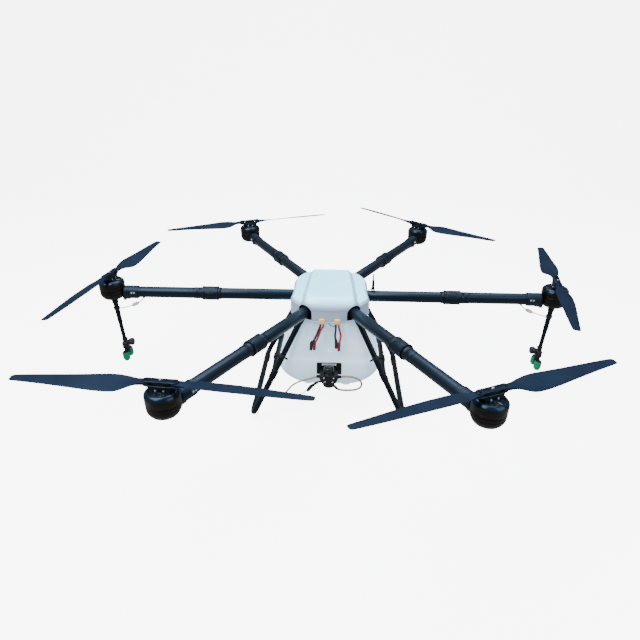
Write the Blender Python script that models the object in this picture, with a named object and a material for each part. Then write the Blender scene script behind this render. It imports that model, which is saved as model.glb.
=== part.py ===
"""Six-arm agricultural spray drone: folding airframe, spray tank, pump and two spray lances.

Frame: metres, +Z up, front of the drone towards -Y. Left (-X) and right (+X) are as seen
by someone standing in front of it. Azimuths are degrees from +X, anticlockwise from above.
Origin: centre of the underside of the lower centre plate, the flat face the payload hangs from.
"""
import math

import bmesh
import bpy
from mathutils import Matrix, Vector

# ------------------------------------------------------------------ shared dimensions
GAP = 0.0003             # running gap between neighbouring pieces
BITE = 0.0002            # how far a joined block sinks into its plate
SEG = 12                 # sides of a turned piece unless given
SHARP_ANGLE = 35.0       # edges sharper than this stay crisp, degrees
Z_ARM = 0.026            # height of the arm axes
R_MOTOR = 0.800          # centre of the drone to each motor axis
R_TUBE = 0.0200          # arm tube, outer radius
R_PIN = 0.0030           # fold pins of arms and blades
LEG_FEET = {"front": (0.0915, -0.1147), "rear": (0.098, 0.110)}  # right leg sockets: x, y

# arm: azimuth, azimuth of blade a, azimuth of blade b, blade coning (degrees),
# sense of rotation (+1 anticlockwise seen from above)
ARMS = {
    "fl": (240.0, 178.3, 352.3, -0.35, 1),
    "fr": (300.0, 205.4, 22.6, 0.90, -1),
    "r": (0.0, 80.3, 258.1, 0.25, 1),
    "br": (60.0, 132.9, 322.0, 0.25, -1),
    "bl": (120.0, 204.6, 21.1, 0.25, 1),
    "l": (180.0, 262.5, 80.7, 0.25, -1),
}
AZIMUTHS = [row[0] for row in ARMS.values()]


# ------------------------------------------------------------------ mesh helpers
def wipe():
    for ob in list(bpy.data.objects):
        bpy.data.objects.remove(ob, do_unlink=True)
    for mesh in list(bpy.data.meshes):
        bpy.data.meshes.remove(mesh)


def link_piece(mesh):
    ob = bpy.data.objects.new("piece", mesh)
    bpy.context.scene.collection.objects.link(ob)
    return ob


def make(verts, faces):
    """A mesh object at the world origin with its faces turned outwards."""
    mesh = bpy.data.meshes.new("piece")
    mesh.from_pydata([tuple(v) for v in verts], [], faces)
    bm = bmesh.new()
    bm.from_mesh(mesh)
    bmesh.ops.remove_doubles(bm, verts=bm.verts, dist=1e-6)
    bmesh.ops.recalc_face_normals(bm, faces=bm.faces)
    bm.to_mesh(mesh)
    bm.free()
    return link_piece(mesh)


def loft(rings):
    """A solid skinned over rings of equal point count, capped at both ends."""
    n = len(rings[0])
    faces = []
    for i in range(len(rings) - 1):
        for j in range(n):
            k = (j + 1) % n
            faces.append((i * n + j, i * n + k, (i + 1) * n + k, (i + 1) * n + j))
    last = (len(rings) - 1) * n
    faces.append(tuple(range(n))[::-1])
    faces.append(tuple(last + j for j in range(n)))
    return make([v for ring in rings for v in ring], faces)


def turned(profile, axis="Z", at=(0, 0, 0), seg=SEG, phase=0.0):
    """Turn a profile of (radius, height) about an axis.

    It runs from pole to pole, or closes on itself.
    """
    verts, rows = [], []
    for radius, height in profile:
        first = len(verts)
        if radius < 1e-9:
            verts.append((0.0, 0.0, height))
        else:
            for j in range(seg):
                a = 2 * math.pi * (j + phase) / seg
                verts.append((radius * math.cos(a), radius * math.sin(a), height))
        rows.append(list(range(first, len(verts))))
    pairs = list(zip(rows[:-1], rows[1:]))
    if len(rows[0]) > 1 and len(rows[-1]) > 1:
        pairs.append((rows[-1], rows[0]))
    faces = []
    for low, high in pairs:
        for j in range(seg):
            k = (j + 1) % seg
            if len(low) == 1:
                faces.append((low[0], high[j], high[k]))
            elif len(high) == 1:
                faces.append((low[j], low[k], high[0]))
            else:
                faces.append((low[j], low[k], high[k], high[j]))
    placed = []
    for x, y, z in verts:
        if axis == "X":
            x, y, z = z, x, y
        elif axis == "Y":
            x, y, z = y, z, x
        placed.append((x + at[0], y + at[1], z + at[2]))
    return make(placed, faces)


def rod(radius, start, end, at=(0, 0), seg=16, axis="Z", phase=0.0):
    """Cylinder from start to end along an axis; at holds its other two coordinates in order."""
    u, v = at
    centre = {"X": (0, u, v), "Y": (u, 0, v), "Z": (u, v, 0)}[axis]
    return turned([(0, start), (radius, start), (radius, end), (0, end)], axis, centre, seg, phase)


def block(x0, x1, y0, y1, z0, z1):
    verts = [(x, y, z) for z in (z0, z1) for x, y in ((x0, y0), (x1, y0), (x1, y1), (x0, y1))]
    return make(verts, [(3, 2, 1, 0), (4, 5, 6, 7), (0, 1, 5, 4), (1, 2, 6, 5), (2, 3, 7, 6),
                        (3, 0, 4, 7)])


def rounded(half_x, y0, y1, corner, z, centre=(0, 0)):
    """Rounded rectangle ring, anticlockwise seen from above, three steps to each corner."""
    right, rear, front = half_x - corner, y1 - corner, y0 + corner
    ring = []
    for cx, cy, start in ((right, rear, 0), (-right, rear, 90),
                          (-right, front, 180), (right, front, 270)):
        for i in range(4):
            a = math.radians(start + 90.0 * i / 3)
            ring.append((cx + corner * math.cos(a) + centre[0],
                         cy + corner * math.sin(a) + centre[1], z))
    return ring


def pipe(path, radius, seg):
    """Round tube along a polyline, mitred at its bends; radius is one value or one per point."""
    points = [Vector(p) for p in path]
    dirs = [(b - a).normalized() for a, b in zip(points, points[1:])]
    radii = radius if isinstance(radius, list) else [radius] * len(points)
    helper = Vector((0, 0, 1)) if abs(dirs[0].z) < 0.9 else Vector((1, 0, 0))
    u = dirs[0].cross(helper).normalized()
    rings = []
    for i, point in enumerate(points):
        before = dirs[max(i - 1, 0)]
        after = dirs[min(i, len(dirs) - 1)]
        v = before.cross(u)
        mitre = (before + after).normalized()
        ring = []
        for j in range(seg):
            a = 2 * math.pi * j / seg
            off = (u * math.cos(a) + v * math.sin(a)) * radii[i]
            slide = -off.dot(mitre) / before.dot(mitre) if i else 0.0
            ring.append(point + off + before * slide)
        rings.append(ring)
        if i:
            u = (before.rotation_difference(after) @ u).normalized()
    return loft(rings)


def boolean(target, tool, operation):
    """Apply a boolean to target and use up the tool."""
    for ob in (target, tool):
        ob.data.update()
    mod = target.modifiers.new("b", "BOOLEAN")
    mod.object = tool
    mod.operation = operation
    mod.solver = "EXACT"
    depsgraph = bpy.context.evaluated_depsgraph_get()
    depsgraph.update()
    mesh = bpy.data.meshes.new_from_object(target.evaluated_get(depsgraph))
    target.modifiers.clear()
    target.data = mesh
    bpy.data.objects.remove(tool, do_unlink=True)
    return target


def union(target, *tools):
    for tool in tools:
        boolean(target, tool, "UNION")
    return target


def cut(target, *tools):
    for tool in tools:
        boolean(target, tool, "DIFFERENCE")
    return target


def moved(ob, matrix):
    ob.data.transform(matrix)
    return ob


def copy_of(ob):
    return link_piece(ob.data.copy())


def place(ob, name, mat, matrix=None, origin=(0, 0, 0)):
    """Name a piece, move its mesh by matrix, and put its origin on its joint axis."""
    mesh = ob.data
    if matrix is not None:
        mesh.transform(matrix)
    mesh.transform(Matrix.Translation(-Vector(origin)))
    ob.name = name
    mesh.name = name
    mesh.materials.clear()
    mesh.materials.append(mat)
    bm = bmesh.new()
    bm.from_mesh(mesh)
    bmesh.ops.remove_doubles(bm, verts=bm.verts, dist=2e-6)
    bmesh.ops.dissolve_degenerate(bm, edges=bm.edges, dist=2e-6)
    bmesh.ops.triangulate(bm, faces=bm.faces)
    bm.to_mesh(mesh)
    bm.free()
    mesh.shade_smooth()
    mesh.set_sharp_from_angle(angle=math.radians(SHARP_ANGLE))
    ob.location = origin


def about_z(azimuth):
    return Matrix.Rotation(math.radians(azimuth), 4, "Z")


def arm_frame(azimuth):
    """From an arm's own frame, +X outwards along its axis, to the drone's."""
    return about_z(azimuth) @ Matrix.Translation((0, 0, Z_ARM))


# ------------------------------------------------------------------ materials
def material(name, colour, roughness, metallic=0.0):
    mat = bpy.data.materials.new(name)
    mat.use_nodes = True
    shader = mat.node_tree.nodes["Principled BSDF"]
    shader.inputs["Base Color"].default_value = (*colour, 1.0)
    shader.inputs["Roughness"].default_value = roughness
    shader.inputs["Metallic"].default_value = metallic
    mat.diffuse_color = (*colour, 1.0)
    return mat


wipe()
CARBON = material("carbon_tube", colour=(0.020, 0.024, 0.030), roughness=0.35)
BLACK_AL = material("black_anodised", colour=(0.016, 0.017, 0.019), roughness=0.42, metallic=0.6)
MOTOR = material("motor_grey", colour=(0.050, 0.055, 0.065), roughness=0.35, metallic=0.8)
CLAMP = material("rotor_clamp", colour=(0.030, 0.033, 0.038), roughness=0.38, metallic=0.6)
BLADE = material("blade_composite", colour=(0.045, 0.065, 0.095), roughness=0.45)
COVER = material("cover_plastic", colour=(0.62, 0.78, 0.86), roughness=0.25)
PLATE = material("carbon_plate", colour=(0.022, 0.024, 0.027), roughness=0.40)
TANK = material("tank_hdpe", colour=(0.72, 0.76, 0.82), roughness=0.45)
CAP = material("cap_black", colour=(0.02, 0.02, 0.022), roughness=0.5)
PUMP = material("pump_black", colour=(0.018, 0.018, 0.020), roughness=0.45)
LEG = material("leg_black", colour=(0.016, 0.018, 0.022), roughness=0.42)
LEAD = material("battery_lead", colour=(0.45, 0.03, 0.04), roughness=0.45)
NOZZLE = material("nozzle_green", colour=(0.0, 0.36, 0.20), roughness=0.4)
LANCE = material("lance_black", colour=(0.018, 0.019, 0.021), roughness=0.45)
FLIGHT = material("controller_grey", colour=(0.10, 0.11, 0.12), roughness=0.4)

# ------------------------------------------------------------------ centre frame
# plan of the centre cover: azimuth, radius
OUTLINE = [
    (0, .135), (15, .1385), (30, .1535), (37, .163), (45, .172), (54, .182), (61, .184),
    (72, .179), (90, .172), (108, .179), (119, .184), (126, .182), (135, .172), (143, .163),
    (150, .1535), (165, .1385), (180, .135), (196, .1395), (212, .1605), (222, .1635),
    (231, .1665), (240, .172), (248, .171), (259, .1675), (270, .1655), (281, .1675),
    (292, .171), (300, .172), (309, .1665), (318, .1635), (328, .1605), (344, .1395)]
OUTLINE_STEPS = 36
COVER_WALL = 0.003
R_ARCH = 0.0275                      # opening in the cover around each arm
ARCH_FLOOR = -0.050                  # foot of the arch cutter, below the arm axis
LOWER_TOP = 0.0030                   # top of the lower plate
UPPER_Z = (0.0490, 0.0515)           # underside and top of the upper plate
SADDLE_X, SADDLE_HALF_Y = (0.086, 0.112), 0.0265
SADDLE_SPLIT = 0.0006                # each half saddle stops this far from the arm axis
FOOT_BOSS_R = 0.0150
ANTENNA_AT = (0.1540, 0.0120, 0)


def outline(azimuth):
    """Plan radius of the centre cover, a smooth curve through its listed radii."""
    n = len(OUTLINE)
    for i in range(n):
        a0, r0 = OUTLINE[i]
        a1, r1 = OUTLINE[(i + 1) % n]
        if a1 <= a0:
            a1 += 360.0
        if a0 <= azimuth <= a1:
            before, after = OUTLINE[i - 1][1], OUTLINE[(i + 2) % n][1]
            w = (azimuth - a0) / (a1 - a0)
            return 0.5 * (2 * r0 + (r1 - before) * w
                          + (2 * before - 5 * r0 + 4 * r1 - after) * w * w
                          + (3 * r0 - before - 3 * r1 + after) * w ** 3)


def plan_ring(inset, scale, z):
    ring = []
    for i in range(OUTLINE_STEPS):
        azimuth = 360.0 * i / OUTLINE_STEPS
        radius = outline(azimuth) * scale - inset
        a = math.radians(azimuth)
        ring.append((radius * math.cos(a), radius * math.sin(a), z))
    return ring


def panel_ring(grow, z, reach=0.0):
    """Raised centre panel: wider at the front, its bowed front edge moved forward by reach."""
    rear, front = 0.121 + grow, -0.126 - grow - reach
    half_rear, half_front = 0.0680 + grow, 0.0790 + grow
    points = [
        (half_rear - 0.012, rear), (-half_rear + 0.012, rear), (-half_rear, rear - 0.014),
        (-half_front, front + 0.030), (-half_front + 0.010, front + 0.012),
        (-0.042, front + 0.003), (0, front), (0.042, front + 0.003),
        (half_front - 0.010, front + 0.012), (half_front, front + 0.030),
        (half_rear, rear - 0.014)]
    return [(x, y, z) for x, y in points]


def cover_body(wall):
    """Outer form for wall = 0, inner form for a real wall; the inner one runs out below."""
    rim = -0.014 if wall else -0.004
    body = loft([
        plan_ring(wall, 1.0, rim),
        plan_ring(wall, 1.0, 0.0420),
        plan_ring(wall, 0.985, 0.0500 - wall * 0.4),
        plan_ring(wall, 0.955, 0.0550 - wall * 0.8),
        plan_ring(wall, 0.90, 0.0580 - wall)])
    panel = loft([
        panel_ring(0.006 - wall, 0.040, 0.020),
        panel_ring(0.004 - wall, 0.062 - wall * 0.6, 0.018),
        panel_ring(-0.001 - wall, 0.0750 - wall, 0.010),
        panel_ring(-0.006 - wall, 0.0810 - wall)])
    return union(body, panel)


def top_cover():
    cover = cut(cover_body(0.0), cover_body(COVER_WALL))
    angles = [math.radians(t) for t in range(0, 181, 20)]
    arch = [(R_ARCH, ARCH_FLOOR)]
    arch += [(R_ARCH * math.cos(a), R_ARCH * math.sin(a)) for a in angles]
    arch += [(-R_ARCH, ARCH_FLOOR)]
    for azimuth in AZIMUTHS:
        cutter = loft([[(x, y, z) for y, z in arch] for x in (0.100, 0.210)])
        cut(cover, moved(cutter, arm_frame(azimuth)))
    return cover


def with_saddles(plate, z0, z1):
    """Join six half saddles to a plate, then bore them for the arm tubes."""
    for azimuth in AZIMUTHS:
        saddle = block(*SADDLE_X, -SADDLE_HALF_Y, SADDLE_HALF_Y, z0, z1)
        union(plate, moved(saddle, about_z(azimuth)))
    for azimuth in AZIMUTHS:
        bore = rod(R_TUBE + GAP, 0.070, 0.160, seg=SEG, axis="X")
        cut(plate, moved(bore, arm_frame(azimuth)))
    return plate


def lower_plate():
    plate = loft([plan_ring(0.0065, 1.0, z) for z in (0.0, LOWER_TOP)])
    for x, y in LEG_FEET.values():
        for side in (1, -1):
            union(plate, rod(FOOT_BOSS_R, 0.0, LOWER_TOP, (side * x, y), 8))
    return with_saddles(plate, LOWER_TOP - BITE, Z_ARM - SADDLE_SPLIT)


def upper_plate():
    plate = loft([plan_ring(0.0105, 0.92, z) for z in UPPER_Z])
    return with_saddles(plate, Z_ARM + SADDLE_SPLIT, UPPER_Z[0] + BITE)


def flight_controller():
    """Box on the upper plate with a chamfered top edge."""
    return loft([
        rounded(0.030, -0.046, 0.046, 0.006, UPPER_Z[1] + GAP),
        rounded(0.030, -0.046, 0.046, 0.006, 0.0690),
        rounded(0.028, -0.044, 0.044, 0.006, 0.0710)])


def antenna():
    """Stepped mast at the right edge of the cover, on a small rectangular foot."""
    mast = turned([(0, 0.0480), (0.0050, 0.0480), (0.0050, 0.0540), (0.0036, 0.0550),
                   (0.0034, 0.0790), (0.0020, 0.0810), (0.0016, 0.1040), (0, 0.1048)],
                  at=ANTENNA_AT, seg=8)
    return union(mast, block(0.1475, 0.1605, -0.0080, 0.0180, 0.0465, 0.0500))


place(top_cover(), "top_cover", COVER)
place(lower_plate(), "lower_plate", PLATE)
place(upper_plate(), "upper_plate", PLATE)
place(flight_controller(), "flight_controller", FLIGHT)
place(antenna(), "antenna", LANCE)

# ------------------------------------------------------------------ arms, in the arm's own frame
R_TUBE_BORE = R_TUBE - 0.0015
R_KNUCKLE = 0.0220       # bonded fold knuckle
R_NOSE = 0.0212          # slimmer end of the outer knuckle, to swing clear of the sleeve's mouth
R_FOLD = 0.455           # radius of the fold pin from the drone's centre
PIN_OFF = -0.0155        # sideways offset of the fold pin, towards the side the arm folds to
PIN_AT = (R_FOLD, PIN_OFF)
R_LUG = 0.0065
R_RELIEF = 0.0120        # clearance cut around the other arm's lug
SLEEVE_IN, SLEEVE_OUT = 0.409, 0.465  # ends of the lock sleeve
R_SLEEVE_BORE = 0.0226
R_SLEEVE, R_SLEEVE_RIM = 0.0258, 0.0270
MOUNT_BOTTOM = -0.0220   # underside of the motor mount
R_SHAFT_BORE = 0.0048
SHAFT_BORE_FLOOR = -0.0120


def hinge_lug(half_height):
    """Lug around the fold pin, trimmed to stay inside the sleeve bore."""
    lug = rod(R_LUG, -half_height, half_height, PIN_AT, 10)
    envelope = rod(R_NOSE - 0.0002, 0.440, 0.470, seg=SEG, axis="X", phase=0.37)
    return boolean(lug, envelope, "INTERSECT")


def inner_arm():
    """Tube with a knuckle at its outer end, a middle lug and the fold pin."""
    face = R_FOLD - GAP
    arm = turned([(0, face), (R_KNUCKLE, face), (R_KNUCKLE, 0.400), (R_TUBE, 0.396),
                  (R_TUBE, 0.076), (R_TUBE_BORE, 0.076), (R_TUBE_BORE, 0.398), (0, 0.398)], "X")
    union(arm, hinge_lug(0.0080))
    for z0, z1 in ((0.0046, 0.030), (-0.030, -0.0046)):
        cut(arm, rod(R_RELIEF, z0, z1, PIN_AT, 10))
    return union(arm, rod(R_PIN, -0.0098, 0.0098, PIN_AT, 8))


def outer_arm():
    """Tube with a knuckle at its inner end and a lug forked above and below the inner one."""
    face = R_FOLD + GAP
    arm = turned([(0, face), (R_NOSE, face), (R_NOSE, 0.4665), (R_KNUCKLE, 0.4675),
                  (R_KNUCKLE, 0.497), (R_TUBE, 0.501), (R_TUBE, 0.747), (R_TUBE_BORE, 0.747),
                  (R_TUBE_BORE, 0.499), (0, 0.499)], "X")
    union(arm, hinge_lug(0.0100))
    cut(arm, rod(R_RELIEF, -0.0049, 0.0049, PIN_AT, 10))
    return cut(arm, rod(R_PIN + GAP, -0.015, 0.015, PIN_AT, 8))


def lock_sleeve():
    """Sleeve over the fold joint, with a raised rim at each end."""
    return turned([
        (R_SLEEVE_BORE, SLEEVE_IN), (R_SLEEVE_RIM, SLEEVE_IN), (R_SLEEVE_RIM, SLEEVE_IN + 0.003),
        (R_SLEEVE, SLEEVE_IN + 0.0045), (R_SLEEVE, SLEEVE_OUT - 0.0045),
        (R_SLEEVE_RIM, SLEEVE_OUT - 0.003), (R_SLEEVE_RIM, SLEEVE_OUT),
        (R_SLEEVE_BORE, SLEEVE_OUT)], "X")


def motor_mount():
    """Stepped cup under the motor can, with a grip around the end of the arm tube."""
    at = (R_MOTOR, 0, 0)
    cup = turned([(0, MOUNT_BOTTOM), (0.032, MOUNT_BOTTOM), (0.0435, -0.0070), (0.0435, 0.0125),
                  (0.0405, 0.0125), (0.0405, 0.0335), (R_SHAFT_BORE, 0.0335),
                  (R_SHAFT_BORE, SHAFT_BORE_FLOOR), (0, SHAFT_BORE_FLOOR)], at=at, seg=14)
    grip = turned([(0, 0.792), (0.0115, 0.792), (0.0115, 0.759), (0.0245, 0.7525),
                   (0.0245, 0.703), (R_TUBE + GAP, 0.703), (R_TUBE + GAP, 0.7475),
                   (0, 0.7475)], "X")
    cut(grip, block(0.7585, 0.80, -0.03, 0.03, 0.0118, 0.03))
    bore = rod(R_SHAFT_BORE, SHAFT_BORE_FLOOR, 0.0340, (R_MOTOR, 0), 14)
    skirt_space = turned([(0.0406, 0.0126), (0.0600, 0.0126), (0.0600, 0.040),
                          (0.0406, 0.040)], at=at, seg=14)
    return cut(union(cup, grip), bore, skirt_space)


# ------------------------------------------------------------------ rotors
R_CAN = 0.0440           # motor can radius
R_HINGE = 0.0360         # blade hinge from the rotor axis
BLADE_LEN = 0.3460       # blade hinge to blade tip
Z_BLADE = 0.0668         # mid plane of the blade roots above the arm axis
ROOT_THICK = 0.0080
R_LINK_END = 0.0105      # rounded ends of the clamp plates
LINK_THICK = 0.0030
BLADE_BOW = 0.0035       # sideways bow of the blade at mid length
# span from the hinge, chord, thickness, twist in degrees
BLADE_STATIONS = [
    (-0.0103, .0120, ROOT_THICK, 0), (-0.0050, .0205, ROOT_THICK, 0),
    (0.012, .0215, ROOT_THICK, 0), (0.026, .0260, .0074, 3), (0.044, .0440, .0066, 9),
    (0.068, .0610, .0060, 14), (0.096, .0645, .0056, 15), (0.185, .0500, .0042, 11),
    (0.300, .0310, .0028, 6.5), (0.338, .0245, .0024, 5), (BLADE_LEN, .0140, .0020, 5)]
# place along the chord (share of chord), height on the blade, height at the root (of thickness)
BLADE_SECTION = [
    (-.5, 0, 0), (-.30, .45, .5), (.15, .42, .5), (.5, .06, .5), (.5, -.06, -.5),
    (.15, -.38, -.5), (-.30, -.38, -.5)]
ROOT_END, ROOT_BLEND = 0.012, 0.030  # where the root section ends; length of its blend


def clamp_plate(z0, z1, half_width):
    """Flat plate across the rotor axis with a rounded end over each blade hinge."""
    angles = [math.radians(-90 + 45 * i) for i in range(5)]
    end = [(R_HINGE + R_LINK_END * math.cos(a), R_LINK_END * math.sin(a)) for a in angles]
    ring = end + [(0.012, half_width), (-0.012, half_width)]
    ring += [(-x, -y) for x, y in end] + [(-0.012, -half_width), (0.012, -half_width)]
    return loft([[(x, y, z) for x, y in ring] for z in (z0, z1)])


def rotor():
    """Motor can, neck and blade clamp. Rotor axis on Z, blade line on X."""
    can = turned([(0, -0.0112), (0.0042, -0.0112), (0.0042, 0.0345), (0.0416, 0.0345),
                  (0.0416, 0.0142), (R_CAN, 0.0142), (R_CAN, 0.0400), (0.0370, 0.0468),
                  (0, 0.0468)], seg=14)
    reach = ROOT_THICK / 2 + GAP
    low, high = Z_BLADE - reach, Z_BLADE + reach
    union(can,
          block(-0.0150, 0.0150, -0.0120, 0.0120, 0.0440, Z_BLADE - 0.0055),
          clamp_plate(low - LINK_THICK, low, 0.0135),
          clamp_plate(high, high + LINK_THICK, 0.0085),
          rod(0.0070, low - 0.001, high + 0.001, seg=8))
    for side in (-1, 1):
        union(can, rod(R_PIN, low - 0.001, high + 0.001, (side * R_HINGE, 0), 8))
    return can


def blade(sense):
    """Folding blade, hinge pin on Z at the origin, tip on +X; sense as in ARMS."""
    rings = []
    for x, chord, thick, twist in BLADE_STATIONS:
        blend = max(0.0, min(1.0, (x - ROOT_END) / ROOT_BLEND))
        bow = BLADE_BOW * blend * math.sin(math.pi * x / BLADE_LEN)
        a = math.radians(-twist)
        ring = []
        for along, blade_height, root_height in BLADE_SECTION:
            y = -along * chord + bow
            z = (blade_height * blend + root_height * (1 - blend)) * thick
            ring.append((x, sense * (y * math.cos(a) - z * math.sin(a)),
                         y * math.sin(a) + z * math.cos(a)))
        rings.append(ring)
    return cut(loft(rings), rod(R_PIN + GAP, -0.02, 0.02, seg=8))


def build_arms():
    """Copy each part of an arm, its rotor and its two blades to all six azimuths."""
    sleeve_mid = (SLEEVE_IN + SLEEVE_OUT) / 2
    # name, pattern, material, origin in the arm's frame
    arm_parts = [
        ("inner_arm", inner_arm(), CARBON, None),
        ("lock_sleeve", lock_sleeve(), BLACK_AL, (sleeve_mid, 0, 0)),
        ("outer_arm", outer_arm(), CARBON, (*PIN_AT, 0)),
        ("motor_mount", motor_mount(), MOTOR, (*PIN_AT, 0))]
    rotor_pattern = rotor()
    blade_patterns = {sense: blade(sense) for sense in (1, -1)}

    for arm, (azimuth, angle_a, angle_b, coning, sense) in ARMS.items():
        frame = arm_frame(azimuth)
        for name, pattern, mat, joint in arm_parts:
            origin = tuple(frame @ Vector(joint)) if joint else (0, 0, 0)
            place(copy_of(pattern), f"{name}_{arm}", mat, frame, origin)

        hub = frame @ Vector((R_MOTOR, 0, 0))
        opposite_b = angle_b - 180.0 if angle_b > angle_a else angle_b + 180.0
        line = (angle_a + opposite_b) / 2.0  # azimuth of the clamp
        place(copy_of(rotor_pattern), "rotor_" + arm, CLAMP,
              Matrix.Translation(hub) @ about_z(line), tuple(hub))
        for tag, angle, base in (("a", angle_a, line), ("b", angle_b, line + 180.0)):
            a = math.radians(base)
            hinge = hub + Vector((R_HINGE * math.cos(a), R_HINGE * math.sin(a), Z_BLADE))
            matrix = (Matrix.Translation(hinge) @ about_z(angle)
                      @ Matrix.Rotation(math.radians(-coning), 4, "Y"))
            place(copy_of(blade_patterns[sense]), f"blade_{arm}_{tag}", BLADE, matrix,
                  tuple(hinge))

    patterns = [part[1] for part in arm_parts] + [rotor_pattern, *blade_patterns.values()]
    for pattern in patterns:
        bpy.data.objects.remove(pattern, do_unlink=True)


build_arms()

# ------------------------------------------------------------------ spray tank
TANK_SECTIONS = [  # z, half width, front y, rear y, corner radius
    (-0.0260, .106, -.116, .112, .030), (-0.0310, .111, -.121, .117, .032),
    (-0.1240, .159, -.145, .135, .046), (-0.1540, .167, -.149, .138, .050),
    (-0.1600, .174, -.155, .142, .052), (-0.2050, .179, -.156, .143, .056),
    (-0.2280, .167, -.152, .140, .060), (-0.2520, .142, -.144, .134, .062),
    (-0.2660, .110, -.124, .116, .058)]
TANK_WALL = 0.004
FILLER_AT = (0.0, -0.088)            # filler neck axis: x, z
R_FILLER = 0.0400
FILLER_END = 0.1520                  # rear end of the neck
CAP_FRONT = FILLER_END + GAP


def tank_form(inset):
    """The tank's shape, shrunk by inset on every side."""
    rings = []
    last = len(TANK_SECTIONS) - 1
    for i, (z, half_x, front, rear, corner) in enumerate(TANK_SECTIONS):
        if i == 0:
            z -= inset
        elif i == last:
            z += inset
        rings.append(rounded(half_x - inset, front + inset, rear - inset, corner - inset, z))
    return loft(rings)


def spray_tank():
    tank = union(tank_form(0.0), rod(R_FILLER, 0.090, FILLER_END, FILLER_AT, 24, "Y"))
    return cut(tank, tank_form(TANK_WALL),
               rod(R_FILLER - TANK_WALL, 0.080, 0.1600, FILLER_AT, 24, "Y"))


def tank_cap():
    """Dished screw cap with two crossed grip bars on its rear face."""
    centre = (FILLER_AT[0], 0, FILLER_AT[1])
    cap = turned([(0, CAP_FRONT), (0.0435, CAP_FRONT), (0.0450, 0.1540), (0.0450, 0.1655),
                  (0.0430, 0.1680), (0.0340, 0.1680), (0.0330, 0.1650), (0, 0.1650)],
                 "Y", centre, 24)
    for angle in (0, 90):
        bar = block(-0.0340, 0.0340, 0.1640, 0.1740, -0.0045, 0.0045)
        moved(bar, Matrix.Rotation(math.radians(angle), 4, "Y"))
        union(cap, moved(bar, Matrix.Translation(centre)))
    return cap


place(spray_tank(), "tank", TANK)
place(tank_cap(), "tank_cap", CAP, origin=(FILLER_AT[0], CAP_FRONT, FILLER_AT[1]))

# ------------------------------------------------------------------ pump and its bracket
PUMP_X, PUMP_Y = PUMP_AT = (0.0015, -0.1905)
PUMP_HALF_WIDTH = 0.044              # half the bracket, and centre to each port's end


def pump_bracket():
    """Plate in front of the tank with a block reaching forward to the pump."""
    plate = block(PUMP_X - PUMP_HALF_WIDTH, PUMP_X + PUMP_HALF_WIDTH, -0.1595, -0.1565,
                  -0.2110, -0.1640)
    return union(plate, block(PUMP_X - 0.016, PUMP_X + 0.016, -0.1680, -0.1590,
                              -0.2060, -0.1760))


def pump():
    """Upright round body, square head below it, round end and a port to each side."""
    body = turned([(0, -0.1590), (0.0190, -0.1590), (0.0220, -0.1615), (0.0220, -0.1880),
                   (0, -0.1880)], at=(PUMP_X, PUMP_Y, 0), seg=24)
    round_end = rod(0.0215, -0.2376, -0.2155, PUMP_AT, 20)
    head = loft([rounded(0.0310, -0.0235, 0.0205, 0.008, -0.1860, PUMP_AT),
                 rounded(0.0320, -0.0240, 0.0210, 0.008, -0.2165, PUMP_AT)])
    ports = rod(0.0060, PUMP_X - PUMP_HALF_WIDTH, PUMP_X + PUMP_HALF_WIDTH,
                (PUMP_Y, -0.2010), 12, "X")
    return union(body, round_end, head, ports)


place(pump_bracket(), "pump_bracket", PUMP)
place(pump(), "pump", PUMP)

# ------------------------------------------------------------------ battery leads
CABLE_R, BULLET_R = 0.0028, 0.0042
CABLE_SIDE, CABLE_Y = 0.0050, -0.1731  # where a cable leaves the plug
# side: plug x, then for each of its two cables the (x, z) of its bend and of its end
LEADS = {
    "left": (-0.0250, ((-0.0450, -0.050), (-0.0345, -0.050)),
             ((-0.0650, -0.112), (-0.0500, -0.110))),
    "right": (0.0275, ((0.0205, -0.050), (0.0410, -0.050)),
              ((0.0250, -0.102), (0.0360, -0.112)))}


def battery_lead(plug_x, bends, ends):
    """Two-pole plug with its pair of cables and bullet sleeves, in front of the cover."""
    plug = block(plug_x - 0.0105, plug_x + 0.0105, -0.1790, -0.1672, -0.0020, 0.0190)
    for side, (bend_x, bend_z), (end_x, end_z) in zip((-1, 1), bends, ends):
        x = plug_x + side * CABLE_SIDE
        path = [(x, CABLE_Y, 0.0010), (x, CABLE_Y, -0.0130), (bend_x, -0.1680, bend_z),
                (end_x, -0.1620, end_z + 0.030), (end_x, -0.1600, end_z)]
        union(plug, pipe(path, [CABLE_R] * 3 + [BULLET_R] * 2, 10))
    return plug


for lead_side, lead_shape in LEADS.items():
    place(battery_lead(*lead_shape), "battery_lead_" + lead_side, LEAD)

# ------------------------------------------------------------------ landing gear
SKID_X, SKID_FRONT, SKID_REAR = 0.266, -0.248, 0.218
Z_SKID = -0.3360                     # skid tube centre
Z_GROUND = -0.3500                   # underside of the skid pads
R_LEG = 0.0095
LEG_BEND = 0.022                     # length taken off each side of a corner
LEG_TOP = -GAP
RAIL_X, Z_RAIL = 0.193, -0.194
R_RAIL = 0.0080


def bend(before, corner, after):
    """A corner softened into three points."""
    p = corner + (before - corner).normalized() * LEG_BEND
    q = corner + (after - corner).normalized() * LEG_BEND
    return [p, (p + q) * 0.25 + corner * 0.5, q]


def at_height(top, foot, z):
    return top.lerp(foot, (z - top.z) / (foot.z - top.z))


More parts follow.
